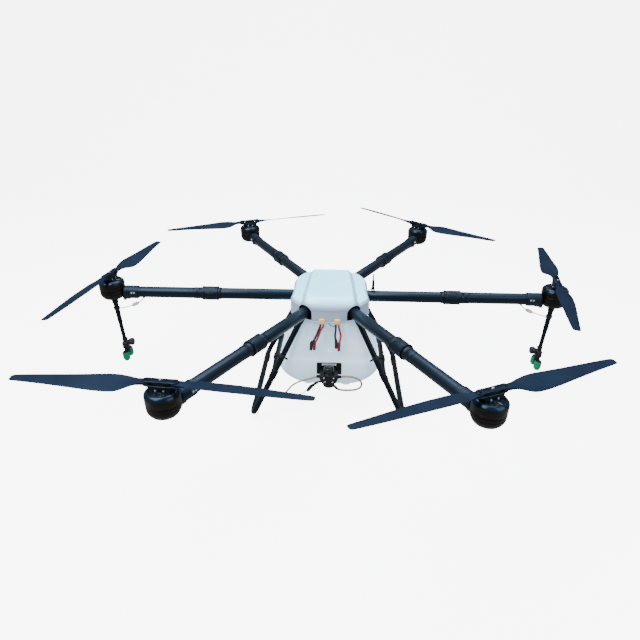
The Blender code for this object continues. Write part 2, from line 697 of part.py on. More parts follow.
def leg_frame():
    """Right side: two legs and their skid in one tube, with a rail beside the tank."""
    front_top = Vector((*LEG_FEET["front"], LEG_TOP))
    rear_top = Vector((*LEG_FEET["rear"], LEG_TOP))
    front_skid = Vector((SKID_X, SKID_FRONT, Z_SKID))
    rear_skid = Vector((SKID_X, SKID_REAR, Z_SKID))
    path = [front_top, *bend(front_top, front_skid, rear_skid),
            *bend(front_skid, rear_skid, rear_top), rear_top]
    frame = pipe(path, R_LEG, 9)
    # level tops under the lower plate
    cut(frame, block(0.0, 0.4, -0.4, 0.4, LEG_TOP, 0.05))
    for top in (front_top, rear_top):
        union(frame, turned([(0, LEG_TOP), (0.0145, LEG_TOP), (0.0145, -0.0060),
                             (0.0115, -0.0100), (0, -0.0100)], at=(top.x, top.y, 0), seg=8))

    front = at_height(front_top, front_skid, Z_RAIL)
    rear = at_height(rear_skid, rear_top, Z_RAIL)
    union(frame, pipe([(front.x - 0.001, front.y - 0.004, Z_RAIL), (RAIL_X, -0.100, Z_RAIL),
                       (RAIL_X, 0.100, Z_RAIL), (rear.x - 0.001, rear.y + 0.004, Z_RAIL)],
                      R_RAIL, 8))
    # clamps on the rail and their short pins towards the tank
    for y in (-0.070, 0.080):
        union(frame, rod(0.0125, y - 0.013, y + 0.013, (RAIL_X, Z_RAIL), 10, "Y"),
              rod(0.0035, 0.1800, RAIL_X, (y, Z_RAIL - 0.002), 6, "X"))
    # ground pads
    for y in (-0.185, 0.165):
        union(frame, block(SKID_X - 0.014, SKID_X + 0.014, y - 0.022, y + 0.022,
                           Z_GROUND, Z_SKID - 0.004))
    return frame


right_frame = leg_frame()
left_frame = moved(copy_of(right_frame), Matrix.Scale(-1, 4, (1, 0, 0)))
left_frame.data.flip_normals()
place(right_frame, "leg_frame_right", LEG)
place(left_frame, "leg_frame_left", LEG)

# ------------------------------------------------------------------ spray lances, side motors
LEAN = 3.5                           # inward lean of the lances, degrees
LANCE_TOP = MOUNT_BOTTOM - GAP
LANCE_END = -0.2415
NOZZLE_TOP = LANCE_END - GAP
MOTOR_AXIS = (R_MOTOR, 0)


def leaned(ob):
    """Lean a piece inwards about the top of the lance."""
    pivot = Vector((R_MOTOR, 0, LANCE_TOP))
    return moved(ob, Matrix.Translation(pivot) @ Matrix.Rotation(math.radians(LEAN), 4, "Y")
                 @ Matrix.Translation(-pivot))


def spray_drop():
    """Flange under the motor mount and a leaning tube with a square valve and side knob."""
    at = (*MOTOR_AXIS, 0)
    flange = turned([(0, LANCE_TOP), (0.0140, LANCE_TOP), (0.0140, -0.0270), (0.0120, -0.0310),
                     (0, -0.0310)], at=at, seg=14)
    lance = turned([(0, -0.0260), (0.0090, -0.0260), (0.0090, -0.1250), (0.0074, -0.1280),
                    (0.0074, -0.2225), (0.0100, -0.2245), (0.0100, LANCE_END),
                    (0, LANCE_END)], at=at, seg=14)
    valve = loft([rounded(0.0125, -0.0115, 0.0115, 0.003, z, MOTOR_AXIS)
                  for z in (-0.2385, -0.2115)])
    knob = rod(0.0105, R_MOTOR - 0.0290, R_MOTOR - 0.0100, (0, -0.2245), 12, "X")
    return union(flange, leaned(union(lance, valve, knob)))


def nozzle():
    """Twin nozzle body, its axis on the lance."""
    body = turned([(0, NOZZLE_TOP), (0.0100, NOZZLE_TOP), (0.0100, -0.2560), (0.0075, -0.2600),
                   (0, -0.2600)], at=(*MOTOR_AXIS, 0), seg=14)
    union(body, rod(0.0075, -0.0230, 0.0230, (R_MOTOR, -0.2510), 12, "Y"))
    for side in (-1, 1):
        union(body, turned([(0, -0.2460), (0.0120, -0.2460), (0.0132, -0.2640),
                            (0.0132, -0.2740), (0.0095, -0.2830), (0, -0.2830)],
                           at=(R_MOTOR, side * 0.0195, 0), seg=12))
    return leaned(body)


for side_arm in ("l", "r"):
    side_frame = arm_frame(ARMS[side_arm][0])
    place(spray_drop(), "spray_drop_" + side_arm, LANCE, side_frame,
          tuple(side_frame @ Vector((*PIN_AT, 0))))
    place(nozzle(), "nozzle_" + side_arm, NOZZLE, side_frame,
          tuple(side_frame @ Vector((R_MOTOR, 0, 0))))
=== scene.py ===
"""Looks of a six-arm folding spray drone, dressed over its CAD frame.

Metres, +Z up, front towards -Y, right towards +X. The lower plate lies at z = 0 on the hub's axis
and the skids stand at z = -0.35. Arm parts are built along +X about the arm's own axis, then
turned into place.
"""

import math

import bmesh
import bpy
from mathutils import Matrix, Vector


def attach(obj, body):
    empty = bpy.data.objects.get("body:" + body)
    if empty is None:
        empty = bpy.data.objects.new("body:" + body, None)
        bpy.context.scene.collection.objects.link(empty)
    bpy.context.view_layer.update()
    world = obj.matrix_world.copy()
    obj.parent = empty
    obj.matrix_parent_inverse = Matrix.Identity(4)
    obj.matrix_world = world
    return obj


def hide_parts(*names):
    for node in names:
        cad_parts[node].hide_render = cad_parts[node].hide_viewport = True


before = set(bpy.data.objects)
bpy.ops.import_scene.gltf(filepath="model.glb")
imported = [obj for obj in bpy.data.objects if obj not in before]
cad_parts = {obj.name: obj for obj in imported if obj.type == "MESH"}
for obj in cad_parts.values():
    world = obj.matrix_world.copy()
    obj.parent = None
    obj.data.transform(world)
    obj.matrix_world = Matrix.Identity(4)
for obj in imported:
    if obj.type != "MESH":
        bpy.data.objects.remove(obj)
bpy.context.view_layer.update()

# ================================================================ dimensions shared with the frame
ARM_AZ = {"fl": 240.0, "fr": 300.0, "r": 0.0, "br": 60.0, "bl": 120.0, "l": 180.0}
ARM_Z = 0.026
FOLD_R, PIN_OFF = 0.455, -0.0155        # folding pin: along the arm, and sideways from its axis
MOTOR_R = 0.800
HINGE_R = 0.036                         # blade hinges, from the rotor's axis
BLADE_RISE = 0.0668                     # blade plane above the arm's axis
ROTORS = {  # cone angle (tips up), side of the leading edge (+1 is +Y), azimuths of the two blades
    "fl": (-0.35, 1, 178.3, 352.3), "fr": (0.90, -1, 205.4, 22.6), "r": (0.25, 1, 80.3, 258.1),
    "br": (0.25, -1, 132.9, 322.0), "bl": (0.25, 1, 204.6, 21.1), "l": (0.25, -1, 262.5, 80.7)}
Z_GROUND = -0.3500
IDENTITY = Matrix()


def turn_z(degrees):
    return Matrix.Rotation(math.radians(degrees), 4, "Z")


def shift(x=0, y=0, z=0):
    return Matrix.Translation((x, y, z))


def arm_matrix(arm):
    return turn_z(ARM_AZ[arm]) @ shift(z=ARM_Z)


MOTOR_AT = shift(MOTOR_R)


# ================================================================ node materials
INPUTS = {"color": "Base Color", "rough": "Roughness", "metal": "Metallic", "normal": "Normal",
          "spec": "Specular IOR Level", "spec_tint": "Specular Tint", "coat": "Coat Weight",
          "coat_rough": "Coat Roughness", "glow": "Emission Color", "glow_power": "Emission Strength",
          "scatter": "Subsurface Weight", "scatter_radius": "Subsurface Radius",
          "scatter_scale": "Subsurface Scale", "sheen": "Sheen Weight",
          "transmission": "Transmission Weight", "ior": "IOR"}


class Graph:
    """A new material, with short calls that add nodes in front of its Principled BSDF."""

    def __init__(self, name):
        self.mat = bpy.data.materials.new(name)
        self.mat.use_nodes = True
        self.tree = self.mat.node_tree

    def node(self, kind, **settings):
        node = self.tree.nodes.new(kind)
        for key, value in settings.items():
            setattr(node, key, value)
        return node

    def feed(self, socket, value):
        """Link a socket, or set a plain value; colours gain their alpha."""
        if isinstance(value, bpy.types.NodeSocket):
            self.tree.links.new(value, socket)
            return
        if socket.type == "RGBA":
            value = (*value, 1.0)
        socket.default_value = value

    def shade(self, **inputs):
        """Feed the Principled inputs named in INPUTS and return the material."""
        bsdf = self.tree.nodes["Principled BSDF"]
        for key, value in inputs.items():
            self.feed(bsdf.inputs[INPUTS[key]], value)
        return self.mat

    def math(self, operation, *values):
        node = self.node("ShaderNodeMath", operation=operation)
        for socket, value in zip(node.inputs, values if len(values) > 1 else (*values, 0.0)):
            self.feed(socket, value)
        return node.outputs[0]

    def add(self, a, b):
        return self.math("ADD", a, b)

    def sub(self, a, b):
        return self.math("SUBTRACT", a, b)

    def mul(self, a, b):
        return self.math("MULTIPLY", a, b)

    def coords(self):
        return self.node("ShaderNodeTexCoord").outputs["Object"]

    def split(self, vector):
        node = self.node("ShaderNodeSeparateXYZ")
        self.feed(node.inputs[0], vector)
        return node.outputs

    def join(self, *xyz):
        node = self.node("ShaderNodeCombineXYZ")
        for socket, value in zip(node.inputs, xyz):
            self.feed(socket, value)
        return node.outputs[0]

    def noise(self, scale, detail=4.0, rough=0.55, at=None, distortion=0.0):
        node = self.node("ShaderNodeTexNoise")
        node.inputs["Scale"].default_value = scale
        node.inputs["Detail"].default_value = detail
        node.inputs["Roughness"].default_value = rough
        node.inputs["Distortion"].default_value = distortion
        self.feed(node.inputs["Vector"], at or self.coords())
        return node.outputs["Fac"]

    def mix(self, fac, a, b):
        node = self.node("ShaderNodeMix", data_type="RGBA", blend_type="MIX")
        for index, value in ((0, fac), (6, a), (7, b)):
            self.feed(node.inputs[index], value)
        return node.outputs[2]

    def tint(self, color, mask, amount, tone):
        """Pull a colour towards a tone where the mask is bright."""
        return self.mix(self.mul(mask, amount), color, tone)

    def map_range(self, fac, limits, kind):
        node = self.node("ShaderNodeMapRange", interpolation_type=kind)
        for socket, value in zip(node.inputs, (fac, *limits)):
            self.feed(socket, value)
        return node.outputs[0]

    def lerp(self, fac, lo, hi):
        """Spread 0..1 over lo..hi."""
        return self.map_range(fac, (0.0, 1.0, lo, hi), "LINEAR")

    def band(self, fac, lo, hi):
        """Soft step: 0 at lo, 1 at hi."""
        return self.map_range(fac, (lo, hi, 0.0, 1.0), "SMOOTHSTEP")

    def patches(self, lo, hi, **noise):
        """Noise cut to soft-edged patches."""
        return self.band(self.noise(**noise), lo, hi)

    def bump(self, height, strength, distance):
        node = self.node("ShaderNodeBump")
        node.inputs["Strength"].default_value = strength
        node.inputs["Distance"].default_value = distance
        self.feed(node.inputs["Height"], height)
        return node.outputs["Normal"]

    def geometry(self, output):
        return self.node("ShaderNodeNewGeometry").outputs[output]

    def edge(self):
        """Bright along convex edges, for wear."""
        return self.band(self.geometry("Pointiness"), lo=0.53, hi=0.62)

    def up(self):
        """How far the surface faces the sky, 0 to 1."""
        return self.math("MULTIPLY_ADD", self.split(self.geometry("Normal"))[2], 0.5, 0.5)

    # mask of sky-facing faces, with which the materials paint a sky sheen into their colour
    def sky(self):
        return self.band(self.up(), lo=0.6, hi=1.0)

    def twill(self, u, v, pitch):
        """2x2 twill: where the warp tow is on top, and the tow profile for bump."""
        warp, weft = self.math("DIVIDE", u, pitch), self.math("DIVIDE", v, pitch)
        diagonal = self.add(self.math("FLOOR", warp), self.math("FLOOR", weft))
        over = self.math("LESS_THAN", self.math("FLOORED_MODULO", diagonal, 4.0), 1.5)

        def tow(cell):
            return self.math("SINE", self.mul(self.math("PINGPONG", cell, 0.5), math.pi))

        under = self.mul(self.sub(1.0, over), tow(weft))
        return over, self.add(self.mul(over, tow(warp)), under)


def carbon_tube():
    """Woven carbon tube, satin clear coat; the tube runs along the object's X."""
    g = Graph("carbon_tube")
    tube_radius = 0.020
    x, y, z = g.split(g.coords())
    over, tows = g.twill(g.mul(g.math("ARCTAN2", z, y), tube_radius), x, pitch=0.0021)
    cloud = g.noise(scale=9, detail=3, rough=0.5)
    color = g.mix(over, (0.0016, 0.0026, 0.0046), (0.0034, 0.0054, 0.0090))
    color = g.mix(g.lerp(cloud, lo=0, hi=0.5), color, (0.0050, 0.0082, 0.0135))
    # painted sky sheen: the upper side of the tube is pulled towards a bluer tone
    color = g.tint(color, g.sky(), amount=0.5, tone=(0.0100, 0.0190, 0.0340))
    scuff = g.patches(scale=85, detail=6, rough=0.7, lo=0.66, hi=0.78)
    color = g.tint(color, scuff, amount=0.22, tone=(0.045, 0.055, 0.070))
    scuff_rough = g.mul(scuff, 0.2)
    return g.shade(color=color, rough=g.add(g.lerp(over, lo=0.30, hi=0.38), scuff_rough),
                   spec=0.30, spec_tint=(0.40, 0.68, 1.0), coat=0.03, coat_rough=0.25,
                   normal=g.bump(tows, strength=0.25, distance=0.00012))


def carbon_plate():
    g = Graph("carbon_plate")
    x, y, z = g.split(g.coords())
    over, tows = g.twill(x, y, pitch=0.0022)
    color = g.mix(over, (0.0025, 0.0028, 0.0034), (0.0070, 0.0080, 0.0095))
    color = g.tint(color, g.edge(), amount=0.5, tone=(0.03, 0.032, 0.034))
    return g.shade(color=color, rough=g.lerp(over, lo=0.32, hi=0.42), coat=0.3, coat_rough=0.18,
                   normal=g.bump(tows, strength=0.2, distance=0.0001))


def anodised(name, base, tint, rough, metal, wear, spec_tint=(0.55, 0.78, 1.0), turned=False):
    """Bead-blasted, anodised aluminium: fine grain, cloudiness, painted sky sheen on top and rubbed
    edges.
    """
    g = Graph(name)
    cloud = g.noise(scale=22)
    fine = g.noise(scale=900, detail=3, rough=0.7)
    color = g.mix(g.band(cloud, lo=0.30, hi=0.72), base, tint)
    # painted sky sheen: upward faces are pulled towards a brighter, bluer copy of the tint
    sky_sheen_tone = (tint[0] * 1.9, tint[1] * 2.1, tint[2] * 2.4)
    color = g.tint(color, g.sky(), amount=0.35, tone=sky_sheen_tone)
    rubbed = g.mul(g.edge(), g.patches(scale=60, rough=0.6, lo=0.42, hi=0.62))
    color = g.tint(color, rubbed, amount=0.55, tone=wear)
    height = fine
    if turned:
        rings = g.math("SINE", g.mul(g.split(g.coords())[2], 9000.0))   # lathe marks up Z
        height = g.add(g.mul(rings, 0.5), fine)
    grain_rough = g.mul(fine, 0.05)
    return g.shade(color=color, metal=metal, spec=0.32, spec_tint=spec_tint,
                   rough=g.add(g.lerp(cloud, lo=rough - 0.05, hi=rough + 0.09), grain_rough),
                   normal=g.bump(height, strength=0.12, distance=0.00006))


def leg_coat():
    """Powder-coated tube: slight orange peel, dust low down, bluish painted sky sheen on top."""
    g = Graph("leg_coat")
    z = g.split(g.coords())[2]
    cloud = g.noise(scale=14, rough=0.6)
    peel = g.noise(scale=420, detail=2, rough=0.5)
    color = g.mix(g.band(cloud, lo=0.3, hi=0.75), (0.0012, 0.0018, 0.0028),
                  (0.0030, 0.0044, 0.0066))
    # painted sky sheen: the upper side is lightened towards a bluer tone
    color = g.tint(color, g.sky(), amount=0.30, tone=(0.0080, 0.0130, 0.0200))
    low = g.sub(1.0, g.band(z, lo=-0.350, hi=-0.300))
    dust = g.mul(low, g.patches(scale=38, detail=5, rough=0.65, lo=0.45, hi=0.70))
    color = g.tint(color, dust, amount=0.30, tone=(0.050, 0.045, 0.038))
    scratches = g.patches(scale=150, detail=6, rough=0.75, lo=0.70, hi=0.80)
    color = g.tint(color, scratches, amount=0.25, tone=(0.045, 0.050, 0.058))
    dust_rough = g.mul(dust, 0.3)
    return g.shade(color=color, rough=g.add(g.lerp(cloud, lo=0.34, hi=0.46), dust_rough),
                   spec=0.20, spec_tint=(0.60, 0.82, 1.0),
                   normal=g.bump(peel, strength=0.12, distance=0.0001))


def blade_composite():
    """Moulded blue-black propeller: fine fibre flow along the blade, paler worn edges."""
    g = Graph("blade_composite")
    x, y, z = g.split(g.coords())
    along_blade = g.join(g.mul(x, 0.10), y, z)      # noise stretched along X
    fibre = g.noise(scale=620, rough=0.65, at=along_blade)
    cloud = g.noise(scale=11, detail=3, rough=0.5)
    color = g.mix(g.band(cloud, lo=0.28, hi=0.75), (0.0032, 0.0082, 0.0215),
                  (0.0052, 0.0125, 0.0300))
    color = g.tint(color, g.band(fibre, lo=0.52, hi=0.70), amount=0.30,
                   tone=(0.0120, 0.0230, 0.0450))
    color = g.tint(color, g.edge(), amount=0.25, tone=(0.035, 0.050, 0.075))
    return g.shade(color=color, rough=g.lerp(fibre, lo=0.40, hi=0.58), spec=0.16,
                   spec_tint=(0.45, 0.68, 1.0),
                   normal=g.bump(fibre, strength=0.16, distance=0.0001))


def cover_plastic():
    """Thin pale-blue translucent moulding: glossy, with a painted glow, painted shade on the walls
    and flanks, and hairline scuffs.
    """
    g = Graph("cover_plastic")
    cloud = g.noise(scale=7, detail=3, rough=0.5)
    color = g.mix(g.band(cloud, lo=0.25, hi=0.75), (0.34, 0.77, 1.0), (0.45, 0.86, 1.0))
    up = g.up()
    # painted shade: the walls, which face away from the sky, are painted cooler and greyer than the
    # panels
    color = g.mix(g.band(up, lo=0.90, hi=0.52), color, (0.36, 0.46, 0.64))
    # painted shade on the steep flanks beside the creases, pulled towards a grey-blue
    sideways = g.math("ABSOLUTE", g.split(g.geometry("Normal"))[0])
    painted_flank_shade = g.mul(g.band(sideways, lo=0.22, hi=0.75), g.band(up, lo=0.55, hi=0.70))
    color = g.tint(color, painted_flank_shade, amount=0.85, tone=(0.30, 0.42, 0.62))
    x, y, z = g.split(g.coords())
    hairlines = g.patches(scale=46, detail=7, rough=0.8, at=g.join(g.mul(x, 0.15), y, z),
                          distortion=1.2, lo=0.70, hi=0.76)
    color = g.tint(color, hairlines, amount=0.25, tone=(0.80, 0.90, 0.95))
    # painted glow: emission lights the sky-facing panels and is weaker on the flanks; the cover is no
    # lamp
    glow = g.mix(g.band(up, lo=0.55, hi=0.95), (0.30, 0.42, 0.60), (0.20, 0.70, 1.0))
    power = g.mul(g.lerp(g.band(up, lo=0.50, hi=0.95), lo=0.05, hi=1.70),
                  g.math("MULTIPLY_ADD", painted_flank_shade, -0.8, 1.0))
    hairline_rough = g.mul(hairlines, 0.18)
    return g.shade(color=color, rough=g.add(g.lerp(cloud, lo=0.20, hi=0.30), hairline_rough),
                   glow=glow, glow_power=power, scatter=0.25, scatter_scale=0.35,
                   scatter_radius=(0.006, 0.010, 0.014), coat=0.5, coat_rough=0.10,
                   normal=g.bump(g.noise(scale=60, detail=3, rough=0.5), strength=0.06,
                                 distance=0.0004))


def tank_hdpe():
    """Milky blow-moulded polyethylene: waxy, with faint flow marks, a liquid stain, painted shade low
    down and a painted glow.
    """
    g = Graph("tank_hdpe")
    x, y, z = g.split(g.coords())
    flow = g.noise(scale=18, detail=5, rough=0.6, at=g.join(x, y, g.mul(z, 0.25)))
    fine = g.noise(scale=240, rough=0.6)
    color = g.mix(g.band(flow, lo=0.25, hi=0.78), (0.68, 0.83, 1.0), (0.80, 0.92, 1.0))
    # painted shade: greyer towards the bottom, where the tank turns under
    color = g.tint(color, g.band(z, lo=-0.16, hi=-0.262), amount=0.20, tone=(0.62, 0.70, 0.80))
    # thin wavy stain line round the tank
    stain_z, waviness = -0.196, 0.010
    off_line = g.math("ABSOLUTE", g.sub(g.add(z, g.mul(flow, waviness)), stain_z))
    line = g.sub(1.0, g.band(off_line, lo=0.0004, hi=0.0022))
    color = g.tint(color, line, amount=0.14, tone=(0.50, 0.52, 0.50))
    height = g.add(fine, g.mul(flow, 2.0))
    # painted glow: a faint bluish emission brightens the wall; the tank is no lamp
    return g.shade(color=color, rough=g.lerp(fine, lo=0.40, hi=0.55), glow=(0.50, 0.76, 1.0),
                   glow_power=g.lerp(flow, lo=0.70, hi=0.82), scatter=0.45, scatter_scale=0.6,
                   scatter_radius=(0.012, 0.013, 0.016), spec=0.45,
                   normal=g.bump(height, strength=0.14, distance=0.0003))


def plastic(name, dark, light, rough=0.45, grain=520.0, spec=0.45, edge=(0.10, 0.10, 0.11),
            edge_amount=0.35, coat=0.0):
    """Moulded plastic: eroded grain, cloudy pigment, edges rubbed paler."""
    g = Graph(name)
    cloud = g.noise(scale=16, detail=3, rough=0.5)
    fine = g.noise(scale=grain, detail=3, rough=0.6)
    color = g.mix(g.band(cloud, lo=0.28, hi=0.76), dark, light)
    color = g.tint(color, g.edge(), amount=edge_amount, tone=edge)
    return g.shade(color=color, rough=g.lerp(fine, lo=rough - 0.05, hi=rough + 0.10), spec=spec,
                   coat=coat, normal=g.bump(fine, strength=0.18, distance=0.00012))


def metal(name, dark, light, rough):
    g = Graph(name)
    cloud = g.noise(scale=300, rough=0.6)
    grain = g.noise(scale=1500, detail=2, rough=0.5)
    return g.shade(color=g.mix(cloud, dark, light), metal=1.0,
                   rough=g.lerp(cloud, lo=rough - 0.05, hi=rough + 0.12),
                   normal=g.bump(grain, strength=0.1, distance=0.00003))


def silicone(name, dark, light, rough=0.42):
    """Silicone cable sheath: soft sheen, slight kink marks."""
    g = Graph(name)
    wobble = g.noise(scale=120, detail=3, rough=0.6)
    return g.shade(color=g.mix(wobble, dark, light), sheen=0.15,
                   rough=g.lerp(wobble, lo=rough - 0.06, hi=rough + 0.12),
                   normal=g.bump(wobble, strength=0.15, distance=0.0002))


def clear(name, tint, rough, transmission):
    g = Graph(name)
    cloud = g.noise(scale=90, detail=3, rough=0.6)
    paler = tuple(min(1.0, channel * 1.12) for channel in tint)
    return g.shade(color=g.mix(cloud, tint, paler), transmission=transmission, ior=1.42,
                   rough=g.lerp(cloud, lo=rough, hi=rough + 0.10),
                   normal=g.bump(cloud, strength=0.05, distance=0.0002))


TUBE = carbon_tube()
PLATE = carbon_plate()
COLLAR = anodised("collar_anodised", base=(0.0016, 0.0030, 0.0058), tint=(0.0040, 0.0074, 0.0135),
                  rough=0.36, metal=0.20, wear=(0.030, 0.038, 0.052))
CAN = anodised("motor_can", base=(0.0016, 0.0014, 0.0012), tint=(0.0036, 0.0031, 0.0027),
               rough=0.26, metal=0.20, wear=(0.040, 0.036, 0.032),
               spec_tint=(0.80, 0.66, 0.55), turned=True)
# painted sky reflection: the motor's top uses a bluer copy of the can's black anodising
CAN_CAP_SKY_REFLECTION = anodised("motor_cap_sky_reflection", base=(0.0030, 0.0060, 0.0120), tint=(0.0070, 0.0140, 0.0260),
                   rough=0.15, metal=0.45, wear=(0.12, 0.15, 0.20))
BASE = anodised("motor_base", base=(0.0018, 0.0016, 0.0014), tint=(0.0040, 0.0036, 0.0032),
                rough=0.36, metal=0.20, wear=(0.045, 0.042, 0.040), spec_tint=(0.80, 0.68, 0.58))
CLAMP = anodised("prop_clamp", base=(0.0030, 0.0058, 0.0110), tint=(0.0085, 0.0155, 0.0280),
                 rough=0.22, metal=0.50, wear=(0.10, 0.12, 0.15))
# painted highlight: a paler copy of the clamp's anodising for the faces of its pockets
POCKET_HIGHLIGHT = anodised("prop_clamp_pocket_highlight", base=(0.030, 0.050, 0.085), tint=(0.050, 0.085, 0.140),
                  rough=0.34, metal=0.35, wear=(0.16, 0.20, 0.26))
ADAPTER = anodised("prop_adapter", base=(0.0020, 0.0021, 0.0024), tint=(0.0042, 0.0045, 0.0052),
                   rough=0.38, metal=0.30, wear=(0.030, 0.032, 0.036))
GRIP = anodised("tube_clamp", base=(0.0034, 0.0062, 0.0120), tint=(0.0085, 0.0150, 0.0270),
                rough=0.36, metal=0.25, wear=(0.06, 0.075, 0.10))
BLADE = blade_composite()
COVER = cover_plastic()
TANK_WALL = tank_hdpe()
LEG = leg_coat()
BLACK = plastic("moulded_black", (0.0022, 0.0024, 0.0030), (0.0050, 0.0054, 0.0064), rough=0.42,
                spec=0.28, edge=(0.030, 0.031, 0.034), edge_amount=0.3)
GLOSS = plastic("gloss_black", (0.0018, 0.0019, 0.0025), (0.0038, 0.0042, 0.0052), rough=0.22,
                grain=300, spec=0.35, edge=(0.026, 0.026, 0.030), edge_amount=0.25, coat=0.15)
RUBBER = plastic("black_rubber", (0.0028, 0.0028, 0.0030), (0.0060, 0.0060, 0.0063), rough=0.72,
                 grain=800, spec=0.15, edge=(0.015, 0.015, 0.015), edge_amount=0.3)
STEEL = metal("screw_steel", (0.62, 0.63, 0.65), (0.74, 0.75, 0.77), rough=0.25)
DARK_STEEL = metal("black_screw", (0.014, 0.014, 0.016), (0.028, 0.028, 0.032), rough=0.34)
COPPER = metal("winding_copper", (0.45, 0.20, 0.09), (0.60, 0.30, 0.14), rough=0.35)
GREEN = plastic("nozzle_green", (0.0, 0.20, 0.095), (0.0, 0.28, 0.140), rough=0.36, grain=500,
                spec=0.30, edge=(0.0, 0.42, 0.23), coat=0.05)
YELLOW = plastic("plug_yellow", (0.86, 0.42, 0.07), (0.94, 0.53, 0.13), rough=0.36, grain=500,
                 edge=(1.0, 0.85, 0.5), edge_amount=0.3)
LABEL = plastic("blank_label", (0.62, 0.64, 0.66), (0.72, 0.74, 0.76), rough=0.50, grain=700,
                spec=0.35, edge=(0.8, 0.8, 0.8), edge_amount=0.2)
RED = silicone("cable_red", (0.46, 0.006, 0.034), (0.60, 0.014, 0.050))
DARK_RED = silicone("sleeve_red", (0.20, 0.002, 0.020), (0.28, 0.004, 0.030), rough=0.35)
CABLE = silicone("cable_black", (0.0022, 0.0030, 0.0034), (0.0060, 0.0080, 0.0084))
TAN = clear("hose_tan", (0.34, 0.26, 0.20), rough=0.30, transmission=0.08)
MILKY = clear("hose_milky", (0.86, 0.88, 0.93), rough=0.30, transmission=0.30)
LENS = clear("lamp_lens", (0.88, 0.66, 0.66), rough=0.14, transmission=0.20)
KNOB = plastic("knob_blue_black", (0.0040, 0.0050, 0.0130), (0.0080, 0.0100, 0.0240), rough=0.38,
               grain=420, spec=0.35, edge=(0.04, 0.045, 0.08), edge_amount=0.3)
BLUE = plastic("collet_blue", (0.035, 0.035, 0.22), (0.06, 0.06, 0.30), rough=0.35)
GREY = plastic("case_grey", (0.03, 0.034, 0.038), (0.05, 0.055, 0.06))


# ================================================================ outlines and curves
def smooth_step(start, end, x):
    t = max(0.0, min(1.0, (x - start) / (end - start)))
    return t * t * (3 - 2 * t)


def interpolate(table, x):
    """Straight-line values of a table's other columns at x in its first."""
    for row, following in zip(table, table[1:]):
        if min(row[0], following[0]) <= x <= max(row[0], following[0]):
            w = (x - row[0]) / (following[0] - row[0])
            return [a + (b - a) * w for a, b in zip(row[1:], following[1:])]


def catmull_rom(p0, p1, p2, p3, t):
    return 0.5 * ((2 * p1) + (p2 - p0) * t + (2 * p0 - 5 * p1 + 4 * p2 - p3) * t * t
                  + (3 * p1 - p0 - 3 * p2 + p3) * t ** 3)


def polar(radius, degrees):
    angle = math.radians(degrees)
    return radius * math.cos(angle), radius * math.sin(angle)


def arc(cx, cy, radius, angles):
    return [(cx + x, cy + y) for x, y in (polar(radius, a) for a in angles)]


def rounded_rect(cx, cy, half_x, half_y, r, steps):
    points = []
    for side_x, side_y, start in ((1, 1, 0), (-1, 1, 90), (-1, -1, 180), (1, -1, 270)):
        points += arc(cx + side_x * (half_x - r), cy + side_y * (half_y - r), r,
                      [start + 90.0 * i / steps for i in range(steps + 1)])
    return points


def mirrored(half, centre=0.0):
    """A profile followed by its mirror image about a height."""
    return half + [(r, 2 * centre - h) for r, h in half[::-1]]


def inset(ring, depth):
    """Draw an anticlockwise outline in by a depth, mitring the corners."""
    points = [Vector(p) for p in ring]
    out = []
    for i, here in enumerate(points):
        come = (here - points[i - 1]).normalized()
        leave = (points[(i + 1) % len(points)] - here).normalized()
        mitre = Vector((come.y + leave.y, -come.x - leave.x))
        mitre /= max(0.5, mitre.length_squared / 2.0)
        out.append((here.x - mitre.x * depth, here.y - mitre.y * depth))
    return out


def smooth_path(points, steps=10):
    """Catmull-Rom curve through the points."""
    points = [Vector(p) for p in points]
    ends = [points[0] * 2 - points[1]] + points + [points[-1] * 2 - points[-2]]
    out = [catmull_rom(*ends[i:i + 4], k / steps)
           for i in range(len(points) - 1) for k in range(steps)]
    return out + [points[-1]]


def bend_path(a, b, c, radius, steps=8):
    """Points of a round bend at b between a and c."""
    u, v = (a - b).normalized(), (c - b).normalized()
    half = u.angle(v) / 2
    reach = radius / math.tan(half)
    centre = b + (u + v).normalized() * (radius / math.sin(half))
    start, end = b + u * reach - centre, b + v * reach - centre
    sweep = start.angle(end)
    axis = start.cross(end).normalized()
    return [centre + Matrix.Rotation(sweep * i / steps, 3, axis) @ start for i in range(steps + 1)]


def skin(rows):
    """Faces between rows of vertex numbers; a row of one is a pole. Without poles it closes."""
    pairs = list(zip(rows[:-1], rows[1:]))
    if len(rows[0]) > 1 and len(rows[-1]) > 1:
        pairs.append((rows[-1], rows[0]))
    faces = []
    for low, high in pairs:
        count = max(len(low), len(high))
        if count == 1:
            continue
        for j in range(count):
            k = (j + 1) % count
            if len(low) == 1:
                faces.append((low[0], high[k], high[j]))
            elif len(high) == 1:
                faces.append((low[j], low[k], high[0]))
            else:
                faces.append((low[j], low[k], high[k], high[j]))
    return faces


